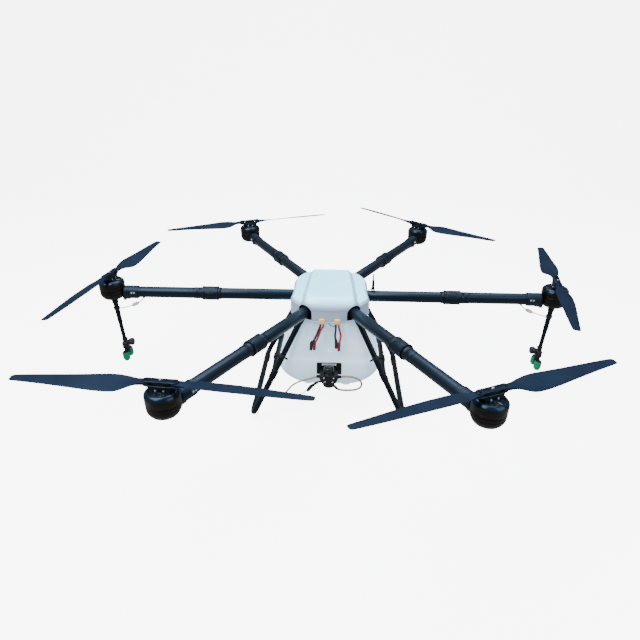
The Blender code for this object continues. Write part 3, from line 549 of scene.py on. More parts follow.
# ================================================================ mesh building
class Shells:
    """Collects shells into one mesh with several materials."""

    def __init__(self):
        self.verts, self.faces, self.slots, self.mats = [], [], [], []

    def slot_of(self, material):
        if material not in self.mats:
            self.mats.append(material)
        return self.mats.index(material)

    def add(self, verts, faces, material, place=IDENTITY):
        base = len(self.verts)
        self.verts += [place @ Vector(p) for p in verts]
        step = -1 if place.to_3x3().determinant() < 0 else 1
        self.faces += [[base + i for i in face][::step] for face in faces]
        self.slots += [self.slot_of(material)] * len(faces)

    def lathe(self, profile, material, seg=48, axis="Z", place=IDENTITY, ripple=None):
        """Turn (radius, height) pairs about an axis. Radius 0 is a pole; ripple adds radius."""
        verts, rows = [], []
        for radius, h in profile:
            base = len(verts)
            if radius < 1e-9:
                verts.append((0, 0, h))
            else:
                for j in range(seg):
                    a = 2 * math.pi * j / seg
                    r = radius + (ripple(a, h, radius) if ripple else 0.0)
                    verts.append((r * math.cos(a), r * math.sin(a), h))
            rows.append(list(range(base, len(verts))))
        if axis == "X":
            verts = [(z, x, y) for x, y, z in verts]
        elif axis == "Y":
            verts = [(y, z, x) for x, y, z in verts]
        self.add(verts, skin(rows), material, place)

    def turn(self, profile, material, *args, **options):
        """Lathe with flat ends: a pole is added level with each end of the profile."""
        ends = [(0, profile[0][1])], [(0, profile[-1][1])]
        self.lathe(ends[0] + profile + ends[1], material, *args, **options)

    def loft(self, rings, material, place=IDENTITY):
        """Skin equal rings of points and cap both ends."""
        n, last = len(rings[0]), len(rings) - 1
        faces = []
        for i in range(last):
            for j in range(n):
                k = (j + 1) % n
                faces.append((i * n + j, i * n + k, (i + 1) * n + k, (i + 1) * n + j))
        faces.append(tuple(range(n))[::-1])
        faces.append(tuple(last * n + j for j in range(n)))
        self.add([p for ring in rings for p in ring], faces, material, place)

    def prism(self, ring, z0, z1, material, chamfer=0.0, place=IDENTITY):
        """Extrude a plan outline, with optional chamfers."""
        area = sum(ring[i - 1][0] * ring[i][1] - ring[i][0] * ring[i - 1][1]
                   for i in range(len(ring)))
        inward = chamfer if area > 0 else -chamfer
        levels = [(z0, 0.0), (z1, 0.0)]
        if chamfer > 0:
            levels = [(z0, inward), (z0 + chamfer, 0.0), (z1 - chamfer, 0.0), (z1, inward)]
        self.loft([[(x, y, z) for x, y in inset(ring, depth)] for z, depth in levels],
                  material, place)

    def box(self, x0, x1, y0, y1, z0, z1, material, r=0.0008, place=IDENTITY):
        ring = rounded_rect((x0 + x1) / 2, (y0 + y1) / 2, (x1 - x0) / 2, (y1 - y0) / 2, r, 1)
        self.prism(ring, z0, z1, material, min(r, (z1 - z0) / 3), place)

    def pipe(self, path, radius, material, seg=16):
        """Round bar along a path; the radius may be a list, one for each point."""
        points = [Vector(p) for p in path]
        radii = radius if isinstance(radius, list) else [radius] * len(points)
        last = len(points) - 1
        along = [(points[min(i + 1, last)] - points[max(i - 1, 0)]).normalized()
                 for i in range(last + 1)]
        aside = Vector((0, 0, 1)) if abs(along[0].z) < 0.9 else Vector((1, 0, 0))
        u = along[0].cross(aside).normalized()
        rings = []
        for i, point in enumerate(points):
            if i:
                u = (along[i - 1].rotation_difference(along[i]) @ u).normalized()
            u = (u - along[i] * u.dot(along[i])).normalized()
            v = along[i].cross(u)
            angles = [2 * math.pi * j / seg for j in range(seg)]
            rings.append([point + (u * math.cos(a) + v * math.sin(a)) * radii[i] for a in angles])
        self.loft(rings, material)

    def screw(self, position, direction, radius, head, material=STEEL):
        """Chamfered screw head with a hexagonal socket, standing on a surface."""
        tilt = Vector((0, 0, 1)).rotation_difference(Vector(direction).normalized())
        socket = radius * 0.52

        def ring(r, z, hexagon=False):
            points = []
            for j in range(18):
                a = 2 * math.pi * j / 18
                k = r
                if hexagon:
                    k = r * math.cos(math.pi / 6) / math.cos(a % (math.pi / 3) - math.pi / 6)
                points.append((k * math.cos(a), k * math.sin(a), z))
            return points

        rings = [ring(radius, -0.0004), ring(radius, head * 0.82), ring(radius * 0.90, head),
                 ring(socket * 1.12, head), ring(socket, head * 0.95, True),
                 ring(socket, head * 0.45, True)]
        self.loft(rings, material, Matrix.Translation(position) @ tilt.to_matrix().to_4x4())

    def take(self, ob, place=IDENTITY):
        """Move a temporary object's shell in here and delete the object."""
        mesh = ob.data
        base = len(self.verts)
        self.verts += [place @ v.co for v in mesh.vertices]
        for face in mesh.polygons:
            self.faces.append([base + i for i in face.vertices])
            self.slots.append(self.slot_of(mesh.materials[face.material_index]))
        bpy.data.objects.remove(ob, do_unlink=True)

    def as_object(self, name="tmp"):
        """Weld the shells, face them outwards and link them to the scene."""
        mesh = bpy.data.meshes.new(name)
        mesh.from_pydata([tuple(p) for p in self.verts], [], self.faces)
        for material in self.mats:
            mesh.materials.append(material)
        mesh.polygons.foreach_set("material_index", self.slots)
        bm = bmesh.new()
        bm.from_mesh(mesh)
        bmesh.ops.remove_doubles(bm, verts=bm.verts, dist=1e-6)
        bmesh.ops.recalc_face_normals(bm, faces=bm.faces)
        bm.to_mesh(mesh)
        bm.free()
        ob = bpy.data.objects.new(name, mesh)
        bpy.context.scene.collection.objects.link(ob)
        return ob

    def finish(self, piece, slot, body="airframe", place=IDENTITY, sharp=38.0, cad=True):
        """Make the visible object; with cad it replaces the CAD piece of the same name."""
        ob = self.as_object("vis_" + piece)
        ob.data.shade_smooth()
        ob.data.set_sharp_from_angle(angle=math.radians(sharp))
        ob.matrix_world = place
        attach(ob, body)
        if cad:
            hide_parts(piece)


def carve(body, tool, operation="DIFFERENCE"):
    """Boolean of two temporary objects; the result stays in the first."""
    modifier = body.modifiers.new("b", "BOOLEAN")
    modifier.object, modifier.operation, modifier.solver = tool, operation, "EXACT"
    depsgraph = bpy.context.evaluated_depsgraph_get()
    depsgraph.update()
    mesh = bpy.data.meshes.new_from_object(body.evaluated_get(depsgraph))
    body.modifiers.clear()
    body.data = mesh
    bpy.data.objects.remove(tool, do_unlink=True)
    return body


def solid(profile, material, *args):
    shells = Shells()
    shells.turn(profile, material, *args)
    return shells.as_object()


def rod(r, z0, z1, x, y, material, seg=40):
    return solid([(r, z0), (r, z1)], material, seg, "Z", shift(x, y))


# ================================================================ folding arms
LUG_R, RELIEF_R = .0065, .0120          # hinge lug, and the clearance round the other half's lug
PIN_R, PIN_GAP = .0030, .0003
TUBE_R, TUBE_BORE, PLUG_R = .0200, .0186, .0184


def knuckle(profile, lug_half, reliefs):
    """Turned end of an arm half, with its lug round the pin and room for the other's."""
    body = solid(profile, COLLAR, 64, "X")
    lug = carve(rod(LUG_R, -lug_half, lug_half, FOLD_R, PIN_OFF, COLLAR),
                solid([(.0210, .440), (.0210, .470)], COLLAR, 64, "X"), "INTERSECT")
    carve(body, lug, "UNION")
    for z0, z1 in reliefs:
        carve(body, rod(RELIEF_R, z0, z1, FOLD_R, PIN_OFF, COLLAR))
    return body


def inner_arm():
    part = Shells()
    part.take(knuckle([(.0213, .4547), (.0220, .4540), (.0220, .4090), (.0214, .4083),
                       (.0214, .4073), (.0220, .4066), (.0220, .4008), (.0212, .3995),
                       (.0202, .3988)], .0045, ((.0046, .030), (-.030, -.0046))))
    part.lathe([(TUBE_BORE, .0765), (.0197, .0765), (TUBE_R, .0769), (TUBE_R, .3992),
                (TUBE_BORE, .3992)], TUBE, 72, "X")
    # bonding fillet and the tube's end plug
    part.lathe([(.0199, .3950), (.0203, .3958), (.0206, .3975), (.0206, .3990), (.0199, .3990)],
               RUBBER, 64, "X")
    part.turn([(PLUG_R, .0790), (PLUG_R, .0830)], BLACK, 40, "X")
    # folding pin
    part.turn(mirrored([(.0024, -.0097), (.0029, -.0092)]), STEEL, 24,
              place=shift(FOLD_R, PIN_OFF))
    return part


def outer_arm():
    part = Shells()
    end = knuckle([(.0206, .4553), (.0212, .4559), (.0212, .4665), (.0215, .4672), (.0215, .4700),
                   (.0211, .4712), (.0210, .4780), (.0208, .4784), (.0208, .4792), (.0210, .4796),
                   (.0208, .4962), (.0206, .4975), (.0202, .4982)], .0100, ((-.0048, .0048),))
    part.take(carve(end, rod(PIN_R + PIN_GAP, -.015, .015, FOLD_R, PIN_OFF, COLLAR, 24)))
    part.lathe([(TUBE_BORE, .4978), (TUBE_R, .4978), (TUBE_R, .7466), (.0197, .7469),
                (TUBE_BORE, .7469)], TUBE, 72, "X")
    part.lathe([(.0199, .5020), (.0202, .5012), (.0204, .4995), (.0204, .4980), (.0199, .4980)],
               COLLAR, 64, "X")
    part.turn([(PLUG_R, .7380), (PLUG_R, .7440)], BLACK, 40, "X")
    # thin bands round the tube
    for x in (.5120, .6940):
        part.lathe(mirrored([(.0199, x - .0030), (.0201, x - .0028), (.0202, x - .0022)], x),
                   COLLAR, 56, "X")
    return part


def lock_sleeve():
    """Fluted sleeve over the folding joint, the same at both ends."""
    part = Shells()
    start, end = .409, .465
    middle = (start + end) / 2

    def flutes(angle, height, radius):
        if not start + .0125 < height < end - .0125 or radius < .0240:
            return 0.0
        return -.00045 * (.5 + .5 * math.cos(40 * angle)) ** 2

    # radius, distance from the sleeve's end
    half = [(.0227, 0), (.0253, 0), (.0259, .0006), (.0260, .0012), (.0260, .0030),
            (.0257, .0036), (.0250, .0046), (.0249, .0080), (.0246, .0086), (.0246, .0096),
            (.0249, .0102), (.0249, .0124), (.0250, .0130), (.0252, .0150)]
    half = [(r, start + d) for r, d in half]
    part.lathe(half + [(.0252, middle)] + [(r, start + end - h) for r, h in half[::-1]],
               COLLAR, 160, "X", ripple=flutes)
    # bright line turned on each rim, in the bluer copy of the motor's anodising: painted sky
    # reflection
    for x in (start + .0021, end - .0021):
        part.lathe([(.02595, x - .0006), (.02610, x - .0004), (.02610, x + .0004),
                    (.02595, x + .0006), (.0257, x)], CAN_CAP_SKY_REFLECTION, 96, "X")
    # small screw above and below
    for side in (-1, 1):
        part.screw((start + .0091, 0, side * .0244), (0, 0, side), .0017, .0009, DARK_STEEL)
    return part


def motor_bowl(part):
    """Bowl under the motor, the stator seen under the can, and four screws below."""
    def scallops(angle, height, radius):
        if -.0190 < height < -.0085 and radius > .030:
            return -.0011 * max(0.0, math.cos(12 * angle)) ** 1.5
        return 0.0

    def teeth(angle, height, radius):
        return -.0016 if radius > .039 and (angle * 36 / (2 * math.pi)) % 1.0 > .72 else 0.0

    part.turn([(.0150, -.0219), (.0156, -.0228), (.0290, -.0230), (.0318, -.0224), (.0342, -.0208),
               (.0364, -.0186), (.0385, -.0158), (.0404, -.0128), (.0420, -.0098), (.0431, -.0070),
               (.0437, -.0045), (.0440, -.0020), (.0442, .0030), (.0438, .0036), (.0438, .0044),
               (.0444, .0050), (.0447, .0060), (.0447, .0076), (.0443, .0086), (.0440, .0100),
               (.0436, .0120), (.0424, .0124), (.0408, .0124), (.0408, .0080), (.0050, .0080),
               (.0050, -.0120)], BASE, 144, place=MOTOR_AT, ripple=scallops)
    part.lathe([(.0050, .0080), (.0400, .0080), (.0404, .0090), (.0404, .0325), (.0400, .0333),
                (.0050, .0333)], BASE, 72, place=MOTOR_AT, ripple=teeth)
    for i in range(18):
        part.box(.0405, .0415, -.0042, .0042, .0095, .0126, COPPER, .0003,
                 MOTOR_AT @ turn_z(20 * i))
    for i in range(4):
        x, y = polar(.0200, 45 + 90 * i)
        part.screw((MOTOR_R + x, y, -.0213), (0, 0, -1), .0026, .0016)


def tube_clamp(part):
    """Neck behind the bowl and the ribbed clamp on the arm's end."""
    def squared(value):
        return abs(value) ** .6 * (1 if value >= 0 else -1)

    ring = [(.0112 * squared(c), .0110 * squared(s)) for c, s in (polar(1, a) for a in
                                                                range(0, 360, 15))]
    part.loft([[(x, y * k, z * k) for y, z in ring] for x, k in
               ((.7490, 1.25), (.7560, 1.12), (.7620, 1.0), (.7700, .98), (.7900, .98))], BASE)
    rib_start, rib_pitch, ribs = .7042, .0075, 6
    profile = [(.0203, .7032), (.0222, .7032), (.0227, .7036)]
    for i in range(ribs):
        x = rib_start + rib_pitch * i
        profile += [(.0229, x), (.0229, x + .0050), (.0227, x + .0055), (.0219, x + .0058),
                    (.0219, x + .0066), (.0227, x + .0070)]
    profile += [(.0229, rib_start + rib_pitch * ribs), (.0229, .7512), (.0225, .7522),
                (.0200, .7545), (.0150, .7570), (.0100, .7580), (0, .7580), (0, .7480),
                (.0203, .7480)]
    part.lathe(profile, GRIP, 112, "X")
    # ears on both flanks with their screws
    for side in (-1, 1):
        part.box(.7080, .7265, side * .0222 - .0022, side * .0222 + .0022, -.0010, .0090, GRIP,
                 .0012)
        for x in (.7124, .7221):
            part.screw((x, side * .0243, .0045), (0, side, .06), .0030, .0016)
    # keel under the clamp
    part.box(.7070, .7500, -.0050, .0050, -.0256, -.0212, BASE, .0009)
    for x in (.7150, .7330):
        for side in (1, -1):
            part.screw((x, side * .0049, -.0236), (0, side, 0), .0015, .0010, DARK_STEEL)
    # cast web from the clamp's underside to the bowl
    web = [(.7300, -.0200), (.7640, -.0060), (.7640, -.0205), (.7500, -.0262), (.7360, -.0262)]
    part.loft([[(x, y, z) for x, z in web] for y in (-.0085, -.0078, .0078, .0085)], BASE)


def lamp(part):
    """Clear dome in a black ring, below the outer end of the clamp."""
    place = shift(.7590, 0, -.0180)
    part.turn([(.0066, -.0015), (.0070, -.0035), (.0070, -.0085), (.0068, -.0092),
               (.0060, -.0092)][::-1], BLACK, 40, place=place)
    radius, centre = .0066, -.0104
    dome = [(radius * math.sin(a), centre - radius * math.cos(a))
            for a in (math.radians(t) for t in range(15, 91, 15))]
    part.lathe([(0, centre - radius)] + dome + [(radius, -.0093), (0, -.0093)], LENS, 36,
               place=place)
    part.lathe([(0, -.0125), (.0022, -.0120), (.0026, -.0094), (0, -.0094)], LABEL, 20,
               place=place)


def motor_mount():
    part = Shells()
    motor_bowl(part)
    tube_clamp(part)
    lamp(part)
    return part


# ================================================================ rotors, about the motor's axis
PLATE_GAP, PLATE_THICK = .0043, .0029   # clamp plates: gap each side of the blade plane, thickness
UNDER, OVER = BLADE_RISE - PLATE_GAP, BLADE_RISE + PLATE_GAP    # faces the blades lie between


def motor_can(part):
    part.lathe([(.0044, -.0110), (.0044, .0345), (.0414, .0345), (.0414, .0144), (.0440, .0144),
                (.0447, .0147), (.0449, .0153), (.0449, .0170), (.0445, .0175), (.0445, .0182),
                (.0450, .0187), (.0453, .0340), (.0452, .0352), (.0447, .0358), (.0400, .0362),
                (.0365, .0420), (.0365, .0440), (.0030, .0440), (.0030, -.0110)], CAN, 120)
    # bevelled shoulder, in the bluer top copy of the anodising: painted sky reflection
    part.lathe([(.0400, .0352), (.0449, .0360), (.0452, .0368), (.0451, .0378), (.0446, .0390),
                (.0420, .0425), (.0392, .0452), (.0376, .0463), (.0365, .0466), (.0362, .0440)],
               CAN_CAP_SKY_REFLECTION, 120)
    # dished cap with twelve raised spokes, in the bluer top copy (painted sky reflection), and a
    # black patch for the vent between each two: painted shade
    part.lathe([(.0362, .0444), (.0366, .0466), (.0358, .0470), (.0346, .0467), (.0320, .0452),
                (.0270, .0441), (.0210, .0437), (.0180, .0440), (.0168, .0452), (.0164, .0464),
                (.0150, .0468), (0, .0468), (0, .0425), (.0362, .0425)], CAN_CAP_SKY_REFLECTION, 96)
    spoke = [(.0172, -.0011), (.0345, -.0016), (.0345, .0016), (.0172, .0011)]
    vent_shade_patch = mirrored([(.0205, -.0020), (.0230, -.0026), (.0300, -.0040), (.0318, -.0036)])
    for i in range(12):
        part.prism(spoke, .0425, .0462, CAN_CAP_SKY_REFLECTION, .0005, turn_z(30 * i + 15))
        part.prism(vent_shade_patch, .0430, .0446, BLACK, .0003, turn_z(30 * i + 30))


def adapter(part):
    """Long block under the clamp plates, flared towards the top, with screws on both sides."""
    top = UNDER - PLATE_THICK
    part.loft([[(x, y, z) for x, y in rounded_rect(0, 0, half_x, half_y, r, 5)]
               for z, half_x, half_y, r in (
                   (.0448, .0270, .0120, .0060), (.0456, .0276, .0126, .0062),
                   (.0520, .0300, .0126, .0062), (.0570, .0330, .0118, .0060),
                   (top - .0008, .0350, .0112, .0060), (top + .0002, .0345, .0108, .0056))],
              ADAPTER)
    part.turn([(.0172, .0438), (.0172, .0470), (.0166, .0476)], CLAMP, 56)
    boss = [(.0050, .0118), (.0050, .0128), (.0046, .0131)]
    for side in (-1, 1):
        for x in (-.0105, .0105):
            part.turn([(r, side * y) for r, y in boss][::side], ADAPTER, 28, "Y",
                      shift(x, 0, .0512))
            part.screw((x, side * .0130, .0512), (0, side, 0), .0032, .0012)
        # small raised pad beyond each screw
        for x in (-.0215, .0215):
            part.box(x - .0045, x + .0045, side * .0120 - .0009, side * .0120 + .0009,
                     .0480, .0500, ADAPTER, .0004)


def clamp_outline(waist):
    """Round ends on the hinges, waisted between them."""
    end_r = .0105
    half = arc(HINGE_R, 0, end_r, [-90 + 180.0 * i / 14 for i in range(15)])
    for i in range(1, 10):
        u = 1 - 2 * (i / 10.0)
        half.append((HINGE_R * u, waist + (end_r - waist) * abs(u) ** 2.2))
    return half + [(-x, -y) for x, y in half]


def clamp_plates(part):
    for z0, waist in ((UNDER - PLATE_THICK, .0122), (OVER, .0096)):
        z1 = z0 + PLATE_THICK
        blank, cutter = Shells(), Shells()
        blank.prism(clamp_outline(waist), z0, z1, CLAMP, .0006)
        if z0 == OVER:
            # two shallow pockets on top; their cut faces take the paler pocket copy of the anodising,
            # a painted highlight
            pocket = mirrored([(.0110, -.0042), (.0240, -.0050), (.0262, -.0034)])
            for side in (-1, 1):
                cutter.prism([(side * x, y) for x, y in pocket][::side], z0 + .0012, z1 + .002,
                             POCKET_HIGHLIGHT)
        else:
            square = [(-.0045, -.0045), (.0045, -.0045), (.0045, .0045), (-.0045, .0045)]
            cutter.prism(square, z0 - .002, z1 - .0014, CLAMP)
        part.take(carve(blank.as_object(), cutter.as_object()))


def clamp_hardware(part):
    # spacer between the plates, tapered where the blade roots swing
    part.prism([(-.0225, -.0050), (-.0150, -.0084), (.0150, -.0084), (.0225, -.0050),
                (.0225, .0050), (.0150, .0084), (-.0150, .0084), (-.0225, .0050)],
               UNDER - .0003, OVER + .0003, ADAPTER, .0006)
    # hub drum, washer and bolt
    part.turn([(.0069, UNDER - .001), (.0069, OVER + .001)], CLAMP, 40)
    part.turn([(.0060, OVER + .0025), (.0062, OVER + .0033), (.0056, OVER + .0040),
               (.0030, OVER + .0042)], CLAMP, 40)
    part.screw((0, 0, OVER + .0040), (0, 0, 1), .0030, .0016)
    # hinge pins, each with a washer and bolt above and a nut below
    for side in (-1, 1):
        hinge = shift(side * HINGE_R)
        part.turn([(PIN_R - .0001, UNDER - .001), (PIN_R - .0001, OVER + .001)], STEEL, 28,
                  place=hinge)
        part.turn([(.0066, OVER + .0028), (.0068, OVER + .0034), (.0064, OVER + .0038)],
                  DARK_STEEL, 32, place=hinge)
        part.screw((side * HINGE_R, 0, OVER + .0037), (0, 0, 1), .0046, .0026, CLAMP)
        part.turn([(.0038, UNDER - .0058), (.0044, UNDER - .0052), (.0044, UNDER - .0028)],
                  DARK_STEEL, 6, place=hinge)


def rotor():
    part = Shells()
    motor_can(part)
    adapter(part)
    clamp_plates(part)
    clamp_hardware(part)
    return part


# ================================================================ blades, from the hinge along +X
BLADE_STATIONS = [  # x, chord, thickness, twist in degrees
    (-.0103, .0100, .0080, 0), (-.0085, .0160, .0080, 0), (-.0050, .0203, .0080, 0),
    (.0000, .0213, .0080, 0), (.012, .0215, .0080, 0), (.026, .0262, .0074, 3),
    (.044, .0420, .0066, 9), (.068, .0560, .0060, 14), (.096, .0590, .0056, 15),
    (.130, .0560, .0050, 13.5), (.185, .0475, .0042, 11), (.240, .0392, .0034, 8.6),
    (.300, .0305, .0028, 6.5), (.338, .0242, .0024, 5), (.3435, .0205, .0021, 5),
    (.3458, .0120, .0016, 5)]
BLADE_XS = [  # where sections are lofted
    -.0103, -.0095, -.0085, -.0070, -.0050, -.0025, 0, .004, .008, .012, .016, .020, .026, .032,
    .038, .044, .052, .060, .068, .077, .086, .096, .108, .120, .135, .150, .165, .185, .205, .225,
    .245, .265, .285, .300, .315, .328, .338, .3410, .3435, .3450, .3458]


def blade_station(x):
    """Chord, thickness and twist at x: straight near root and tip, Hermite curves between."""
    table = BLADE_STATIONS
    i = next(k for k in range(len(table) - 1) if table[k][0] <= x <= table[k + 1][0])
    p0, p1, p2 = table[max(i - 1, 0)], table[i], table[i + 1]
    p3 = table[min(i + 2, len(table) - 1)]
    span = p2[0] - p1[0]
    t = (x - p1[0]) / span
    values = []
    for k in (1, 2, 3):
        slope1 = (p2[k] - p0[k]) / (p2[0] - p0[0])
        slope2 = (p3[k] - p1[k]) / (p3[0] - p1[0])
        if i < 4 or i > 12:
            slope1 = slope2 = (p2[k] - p1[k]) / span
        values.append((2 * t ** 3 - 3 * t * t + 1) * p1[k] + (t ** 3 - 2 * t * t + t) * span * slope1
                      + (-2 * t ** 3 + 3 * t * t) * p2[k] + (t ** 3 - t * t) * span * slope2)
    return values


def blade_section(x, sense):
    """Section ring from leading to trailing edge over the top and back underneath."""
    half_count = 20
    chord, thickness, twist = blade_station(x)
    foil_share = smooth_step(.012, .042, x)
    sweep = .0068 * smooth_step(.018, .072, x) * (1 - .75 * smooth_step(.11, .33, x))
    twist = math.radians(-twist)
    ring = []
    for j in range(2 * half_count):
        upper = j <= half_count
        u = (j if upper else 2 * half_count - j) / half_count
        c = -.5 + (1 - math.cos(math.pi * u)) / 2       # -0.5 at the leading edge
        q = c + .5
        foil = 2.6 * (.2969 * math.sqrt(max(q, 0)) - .126 * q - .3516 * q * q + .2843 * q ** 3
                      - .1015 * q ** 4) * (.95 if upper else .80) + .035
        root = .5 * (1 - abs(2 * c) ** 9) ** (1 / 9.0) if abs(c) < .5 else 0.0
        height = (1 if upper else -1) * (foil * foil_share + root * (1 - foil_share))
        y = -c * chord + sweep
        z = (height if j else 0.0) * thickness
        ring.append((x, sense * (y * math.cos(twist) - z * math.sin(twist)),
                     y * math.sin(twist) + z * math.cos(twist)))
    return ring


def blade(sense):
    """Folding blade: squared root with an eye, broad swept shoulder, slender twisted tip."""
    blank, part = Shells(), Shells()
    blank.loft([blade_section(x, sense) for x in BLADE_XS], BLADE)
    part.take(carve(blank.as_object(), rod(PIN_R + PIN_GAP, -.02, .02, 0, 0, BLADE, 28)))
    # steel bush faces below and above the eye
    for side in (-1, 1):
        part.lathe([(.0031, side * .0040), (.0048, side * .0040), (.0050, side * .00415),
                    (.0050, side * .0042), (.0031, side * .0042)], DARK_STEEL, 28)
    return part


# ================================================================ spray drops under the side motors
LEAN = (shift(MOTOR_R, 0, -.0223) @ Matrix.Rotation(math.radians(3.5), 4, "Y")
        @ shift(-MOTOR_R, 0, .0223))


def spray_drop():
    part = Shells()
    # flange under the motor, with three grub screws
    part.turn([(.0132, -.0222), (.0140, -.0228), (.0140, -.0270), (.0134, -.0282),
               (.0120, -.0300), (.0112, -.0318)][::-1], COLLAR, 56, place=MOTOR_AT)
    for degrees in (60, 180, 300):
        x, y = polar(1, degrees)
        part.screw((MOTOR_R + .0138 * x, .0138 * y, -.0248), (x, y, 0), .0013, .0004)
    # leaning tube and its ferrule
    leaning = Shells()
    leaning.turn([(.0112, -.0262), (.0114, -.0330), (.0108, -.0440), (.0098, -.0475),
                  (.0090, -.0485), (.0088, -.0500), (.0084, -.1240), (.0080, -.1244),
                  (.0080, -.1268), (.0077, -.1275), (.0075, -.1290), (.0073, -.1950)][::-1],
                 LEG, 52, place=MOTOR_AT)
    leaning.turn([(.0080, -.1925), (.0084, -.1932), (.0084, -.1990), (.0090, -.1996),
                  (.0092, -.2010), (.0092, -.2065), (.0086, -.2085), (.0086, -.2120)][::-1],
                 BLACK, 48, place=MOTOR_AT, ripple=lambda angle, height, radius:
                 -.0004 * (math.cos(14 * angle) > 0) if radius > .0091 else 0.0)
    # small tab on the ferrule
    leaning.box(MOTOR_R - .0128, MOTOR_R - .0070, -.0030, .0030, -.1985, -.1935, BLACK)
    # square block, a ring below it and a large knob facing the hub
    leaning.prism(rounded_rect(MOTOR_R, 0, .0112, .0108, .0044, 5), -.2385, -.2115, BLACK, .0020)
    leaning.turn([(.0100, -.2380), (.0103, -.2386), (.0103, -.2404), (.0097, -.2414)][::-1],
                 BLACK, 48, place=MOTOR_AT)
    knob_at = shift(z=-.2120)
    knob = [(.0085, .0345), (.0122, .0336), (.0138, .0316), (.0142, .0290), (.0141, .0220),
            (.0132, .0185), (.0106, .0155), (.0086, .0135), (.0078, .0060)]
    leaning.turn([(r, MOTOR_R - d) for r, d in knob], KNOB, 64, "X", knob_at,
                 lambda angle, height, radius:
                 -.0009 * max(0.0, math.cos(10 * angle)) if radius > .0130 else 0.0)
    # button on the knob's face
    button = [(.0040, .0353), (.0046, .0347), (.0046, .0340)]
    leaning.turn([(r, MOTOR_R - d) for r, d in button], GLOSS, 32, "X", knob_at)
    for y in (-.0066, .0066):
        for z in (-.2165, -.2335):
            leaning.screw((MOTOR_R + .0116, y, z), (1, 0, 0), .0017, .0010)
    part.take(leaning.as_object(), LEAN)
    return part


def nozzle():
    part, leaning = Shells(), Shells()
    leaning.lathe([(0, -.2419), (.0092, -.2419), (.0100, -.2426), (.0103, -.2450),
                   (.0103, -.2540), (.0097, -.2565), (.0086, -.2588), (.0070, -.2598),
                   (0, -.2602)][::-1], BLACK, 48, place=MOTOR_AT)
    bar_at = shift(MOTOR_R, 0, -.2510)
    leaning.turn(mirrored([(.0074, -.0180)]), BLACK, 40, "Y", bar_at)

    def wings(angle, height, radius):
        if radius < .0105 or height > -.2550:
            return 0.0
        return (-.0008 + .0016 * max(0.0, math.cos(2 * angle)) ** 6
                - .0004 * max(0.0, math.cos(16 * angle)))

    for side in (-1, 1):
        place = shift(MOTOR_R, side * .0195)
        # socket, then the green cap with grip wings, the spray tip, and a black bar for its slot:
        # painted shade
        leaning.turn([(.0094, -.2440), (.0102, -.2448), (.0104, -.2458), (.0104, -.2530)][::-1],
                     BLACK, 48, place=place)
        leaning.turn([(.0112, -.2480), (.0122, -.2486), (.0126, -.2500), (.0127, -.2548),
                      (.0131, -.2558), (.0134, -.2620), (.0134, -.2690), (.0130, -.2730),
                      (.0120, -.2758), (.0104, -.2776), (.0088, -.2784), (.0084, -.2792),
                      (.0084, -.2812), (.0078, -.2822), (.0062, -.2824), (.0056, -.2800)][::-1],
                     GREEN, 112, place=place, ripple=wings)
        leaning.lathe([(0, -.2801), (.0054, -.2801), (.0052, -.2826), (.0046, -.2834),
                       (.0014, -.2832), (0, -.2824)][::-1], LABEL, 32, place=place)
        leaning.box(-.0044, .0044, -.0005, .0005, -.2837, -.2829, BLACK, .0002, place)
    leaning.turn(mirrored([(.0034, -.0232), (.0040, -.0226)]), BLACK, 24, "Y", bar_at)
    part.take(leaning.as_object(), LEAN)
    return part


def place_arms():
    inner, outer, sleeve = inner_arm(), outer_arm(), lock_sleeve()
    mount, hub = motor_mount(), rotor()
    blades = {1: blade(1), -1: blade(-1)}
    drop, tip = spray_drop(), nozzle()
    for arm in ARM_AZ:
        place, body = arm_matrix(arm), "arm_" + arm
        inner.finish("inner_arm_" + arm, "carbon_tube", place=place)
        sleeve.finish("lock_sleeve_" + arm, "black_anodised", "sleeve_" + arm, place, 30)
        outer.finish("outer_arm_" + arm, "carbon_tube", body, place)
        mount.finish("motor_mount_" + arm, "motor_grey", body, place)
        cone, sense, first, second = ROTORS[arm]
        clamp_az = (first + (second - 180.0 if second > first else second + 180.0)) / 2.0
        centre = place @ Vector((MOTOR_R, 0, 0))
        hub.finish("rotor_" + arm, "rotor_clamp", "rotor_" + arm,
                   Matrix.Translation(centre) @ turn_z(clamp_az))
        for tag, azimuth, hinge_az in (("a", first, clamp_az), ("b", second, clamp_az + 180.0)):
            hinge = centre + Vector((*polar(HINGE_R, hinge_az), BLADE_RISE))
            piece = "blade_%s_%s" % (arm, tag)
            blades[sense].finish(piece, "blade_composite", piece,
                                 Matrix.Translation(hinge) @ turn_z(azimuth)
                                 @ Matrix.Rotation(math.radians(-cone), 4, "Y"), 50)
        if arm in ("l", "r"):
            drop.finish("spray_drop_" + arm, "lance_black", body, place)
            tip.finish("nozzle_" + arm, "nozzle_green", "nozzle_" + arm, place)


place_arms()

# ================================================================ centre cover
OUTLINE = [  # azimuth, radius of the cover's plan
    (0, .135), (15, .1385), (30, .1535), (37, .163), (45, .172), (54, .182), (61, .184),
    (72, .179), (90, .172), (108, .179), (119, .184), (126, .182), (135, .172), (143, .163),
    (150, .1535), (165, .1385), (180, .135), (196, .1395), (212, .1605), (222, .1635),
    (231, .1665), (240, .172), (248, .171), (259, .1675), (270, .1655), (281, .1675),
    (292, .171), (300, .172), (309, .1665), (318, .1635), (328, .1605), (344, .1395)]
SHOULDER = [  # share of the plan radius, height of the rounded shoulder
    (0.0, .0580), (.85, .0580), (.90, .0574), (.93, .0562), (.953, .0543), (.970, .0518),
    (.983, .0486), (.993, .0450), (1.0, .0412)]
COVER_WALL = .0024


